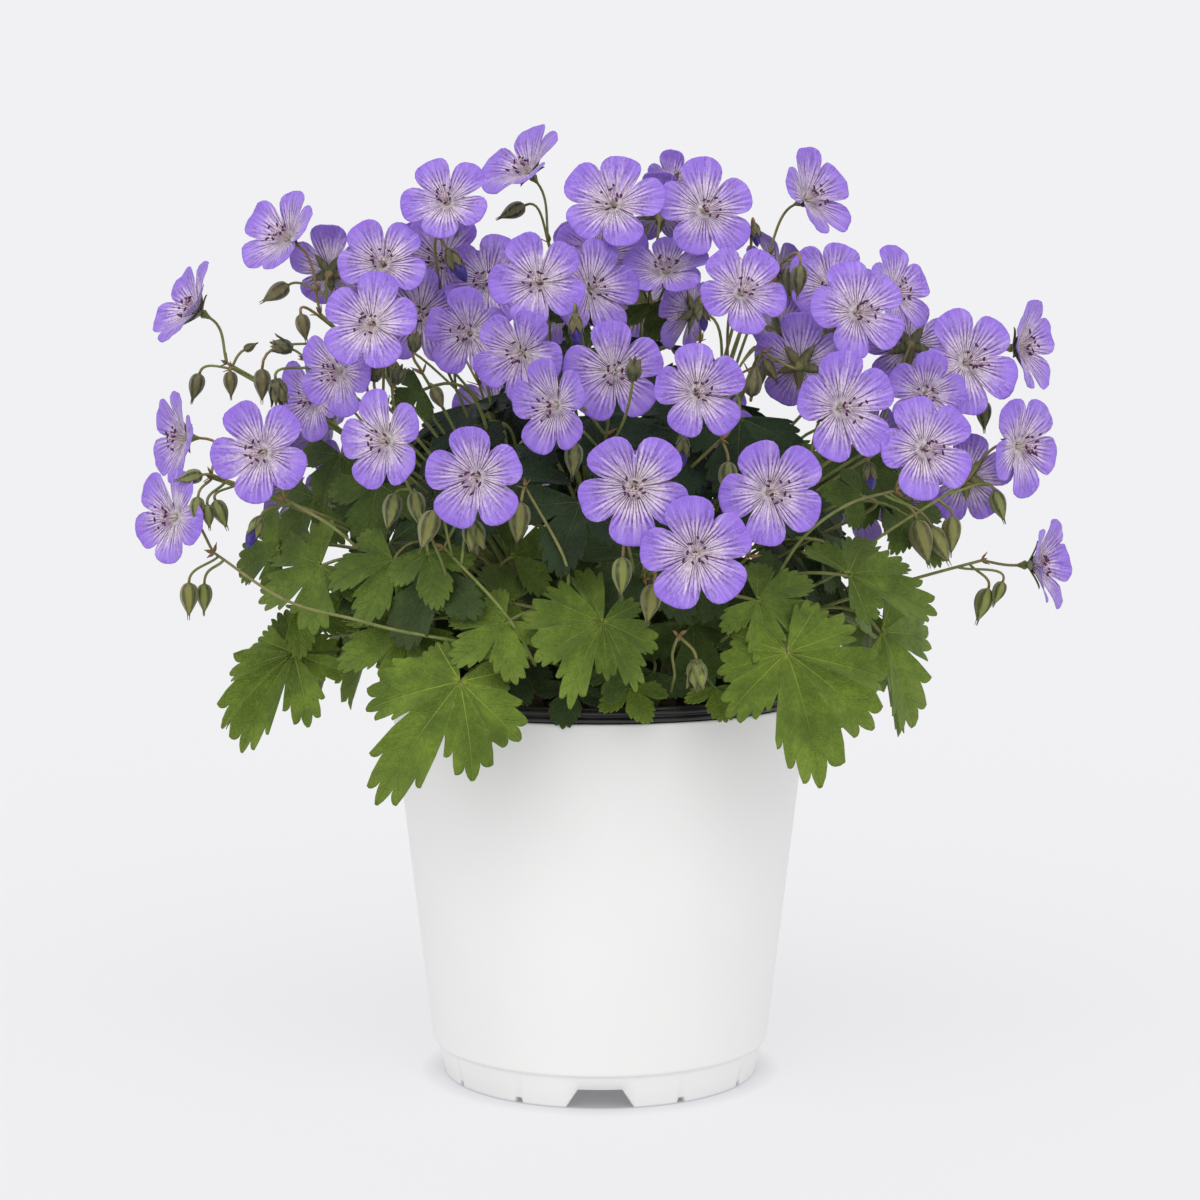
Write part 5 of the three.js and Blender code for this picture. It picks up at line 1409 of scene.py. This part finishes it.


# A leaf on its petiole, which runs on a little under the blade. High leaves are painted with more shade,
# and those that fill the inside of the dome with the most.
def addLeaf(branch):
    leaf, crown = branch["leaf"], branch["crown"]
    place, isFill = leaf["place"], leaf.get("isFill", False)
    out = facing(place[4], place[5])[0]
    lobeWay = clockWay(facing(place[4], place[5]), place[6])
    back = np.array(place[:3], dtype=float) - out * 0.9
    path = petioleCurve(branch["start"], back, lobeWay, out, shoot["petioleSteps"])
    path = np.concatenate([risePath(branch, random), path, [back + lobeWay * 2.0 + out * 0.5]])
    radii = shoot["petioleRadius"] * np.append(between(1.1, 0.8, np.linspace(0, 1, len(path) - 1)), 0.25)
    stemForms[crown].append(rod(path, radii, shoot["sides"], tint=random.uniform(0, 0.3)))
    # painted shade: the higher the leaf, the darker it is painted, unless it has its own depth
    high = float(np.clip((place[2] - blade["paintedShadeFrom"]) / (blade["paintedShadeTo"] - blade["paintedShadeFrom"]), 0, 1))
    shade = between(blade["fillPaintedShade"], 1, high) if isFill else blade["topPaintedShade"] * high
    if len(place) > 7:
        shade = place[7]
    isPlain = isFill or place[1] > 0 or place[3] < blade["smallReach"]
    points = blade["innerToothPoints" if isPlain else "toothPoints"]
    rows = blade["innerRows" if isFill else "rows"]
    teeth = leaf.get("teeth", 1.0)
    leafForms[crown].append(leafForm(place, leaf["lobes"], random, shade, points, teeth, rows))


for crown in range(len(crowns)):
    addStock(crown)
for branch in branches:
    if "spray" in branch:
        addSpray(branch)
print("blooms made:", len(bloomForms))
for branch in branches:
    if "leaf" in branch:
        addLeaf(branch)
print("leaves made:", sum(len(forms) for forms in leafForms))

budFinishes = [budFinish(), bractFinish(), hairFinish(), furledFinish()]
greenery = [("stems", stemForms, [stemFinish()]), ("leaves", leafForms, [leafFinish()]),
            ("buds", budForms, budFinishes)]
for crown in range(len(crowns)):
    for name, forms, materials in greenery:
        makePiece(f"{name}_{crown + 1}", forms[crown], materials, [f"shoots_{crown + 1}"])

# A bloom node's name holds the numbers of its blooms.
petalMaterials = [petalFinish()]
stamenMaterials = [filamentFinish(), antherFinish()]
for node in sorted(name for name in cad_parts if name.startswith("bloom_")):
    ending = node.removeprefix("bloom_")
    numbers = [int(part) - 1 for part in ending.split("_")]
    petals = sum((bloomForms[n] for n in numbers), [])
    stamens = sum((innerForms[n] for n in numbers), [])
    makePiece(f"petals_{ending}", petals, petalMaterials, [node])
    makePiece(f"stamens_{ending}", stamens, stamenMaterials, [node])
print("pieces made")

studio = dict(
    floorSize=60.0, floorShade=(143, 143, 144), floorGlow=0.671, skyShade=(241, 241, 243), skyLight=0.75,
    # the floor's glow fades towards the pot's foot, a painted contact shadow: metres from the middle, and
    # share of the glow
    paintedShadowReach=0.1,
    floorPaintedShadow=[(0.06, (0.3, 0.3, 0.31, 1)), (0.0625, (0.8, 0.79, 0.82, 1)), (0.072, (1, 1, 1, 1))],
    cameraPlace=(0.0, -1.080, 0.295), cameraDown=5.67, lens=82.5, sensor=36,
    # turn to the left, height above the horizon, strength, softness, all in degrees but the strength
    suns=[(4, 42, 0.32, 60), (-50, 30, 0.13, 60), (60, 35, 0.11, 60), (175, 45, 0.06, 60)],
)


# A pale floor, as wide as the eye can see, that glows a little so that it is as light as the background.
# Its glow is dimmed, and tinted violet-grey, under and round the pot's foot: a painted contact shadow.
def makeStage():
    size = 0.5 * studio["floorSize"]
    mesh = bpy.data.meshes.new("floor")
    corners = [(-size, -size, 0), (size, -size, 0), (size, size, 0), (-size, size, 0)]
    mesh.from_pydata(corners, [], [(0, 1, 2, 3)])
    floor = bpy.data.objects.new("floor", mesh)
    p = Paint("floor pale", 0.85, **{"Specular IOR Level": 0.0})
    p.shader.inputs["Base Color"].default_value = colour(*studio["floorShade"])
    # painted contact shadow: the glow falls off towards the middle, under and round the pot's foot
    away = p.value("ShaderNodeVectorMath", {0: p.place()}, "Value", operation="LENGTH")
    stops = [(distance / studio["paintedShadowReach"], share) for distance, share in studio["floorPaintedShadow"]]
    glow = p.mix(1.0, p.ramp(away / studio["paintedShadowReach"], stops), colour(*studio["skyShade"]), "MULTIPLY")
    p.feed(p.shader.inputs["Emission Color"], glow)
    p.shader.inputs["Emission Strength"].default_value = studio["floorGlow"]
    mesh.materials.append(p.material)
    bpy.context.scene.collection.objects.link(floor)


# The background is seen at full brightness and lights the plant with less, and soft suns do the rest.
def makeLight():
    world = bpy.data.worlds.new("studio")
    world.use_nodes = True
    bpy.context.scene.world = world
    tree = world.node_tree
    seen = tree.nodes["Background"]
    seen.inputs["Color"].default_value = colour(*studio["skyShade"])
    light = tree.nodes.new("ShaderNodeBackground")
    light.inputs["Color"].default_value = colour(*studio["skyShade"])
    light.inputs["Strength"].default_value = studio["skyLight"]
    path = tree.nodes.new("ShaderNodeLightPath")
    both = tree.nodes.new("ShaderNodeMixShader")
    tree.links.new(path.outputs["Is Camera Ray"], both.inputs["Fac"])
    tree.links.new(light.outputs[0], both.inputs[1])
    tree.links.new(seen.outputs[0], both.inputs[2])
    tree.links.new(both.outputs[0], tree.nodes["World Output"].inputs["Surface"])
    for turn, high, strength, softness in studio["suns"]:
        sun = bpy.data.lights.new("sun", "SUN")
        sun.energy = strength * math.pi
        sun.angle = math.radians(softness)
        lamp = bpy.data.objects.new("sun", sun)
        lamp.rotation_euler = (math.radians(90 - high), 0, -math.radians(turn))
        bpy.context.scene.collection.objects.link(lamp)


def makeCamera():
    data = bpy.data.cameras.new("camera")
    data.lens = studio["lens"]
    data.sensor_width = studio["sensor"]
    camera = bpy.data.objects.new("camera", data)
    camera.location = studio["cameraPlace"]
    camera.rotation_euler = (math.radians(90 - studio["cameraDown"]), 0, 0)
    bpy.context.scene.collection.objects.link(camera)
    bpy.context.scene.camera = camera


makeStage()
makeLight()
makeCamera()
bpy.context.scene.view_settings.view_transform = "Standard"
print("stage ready")
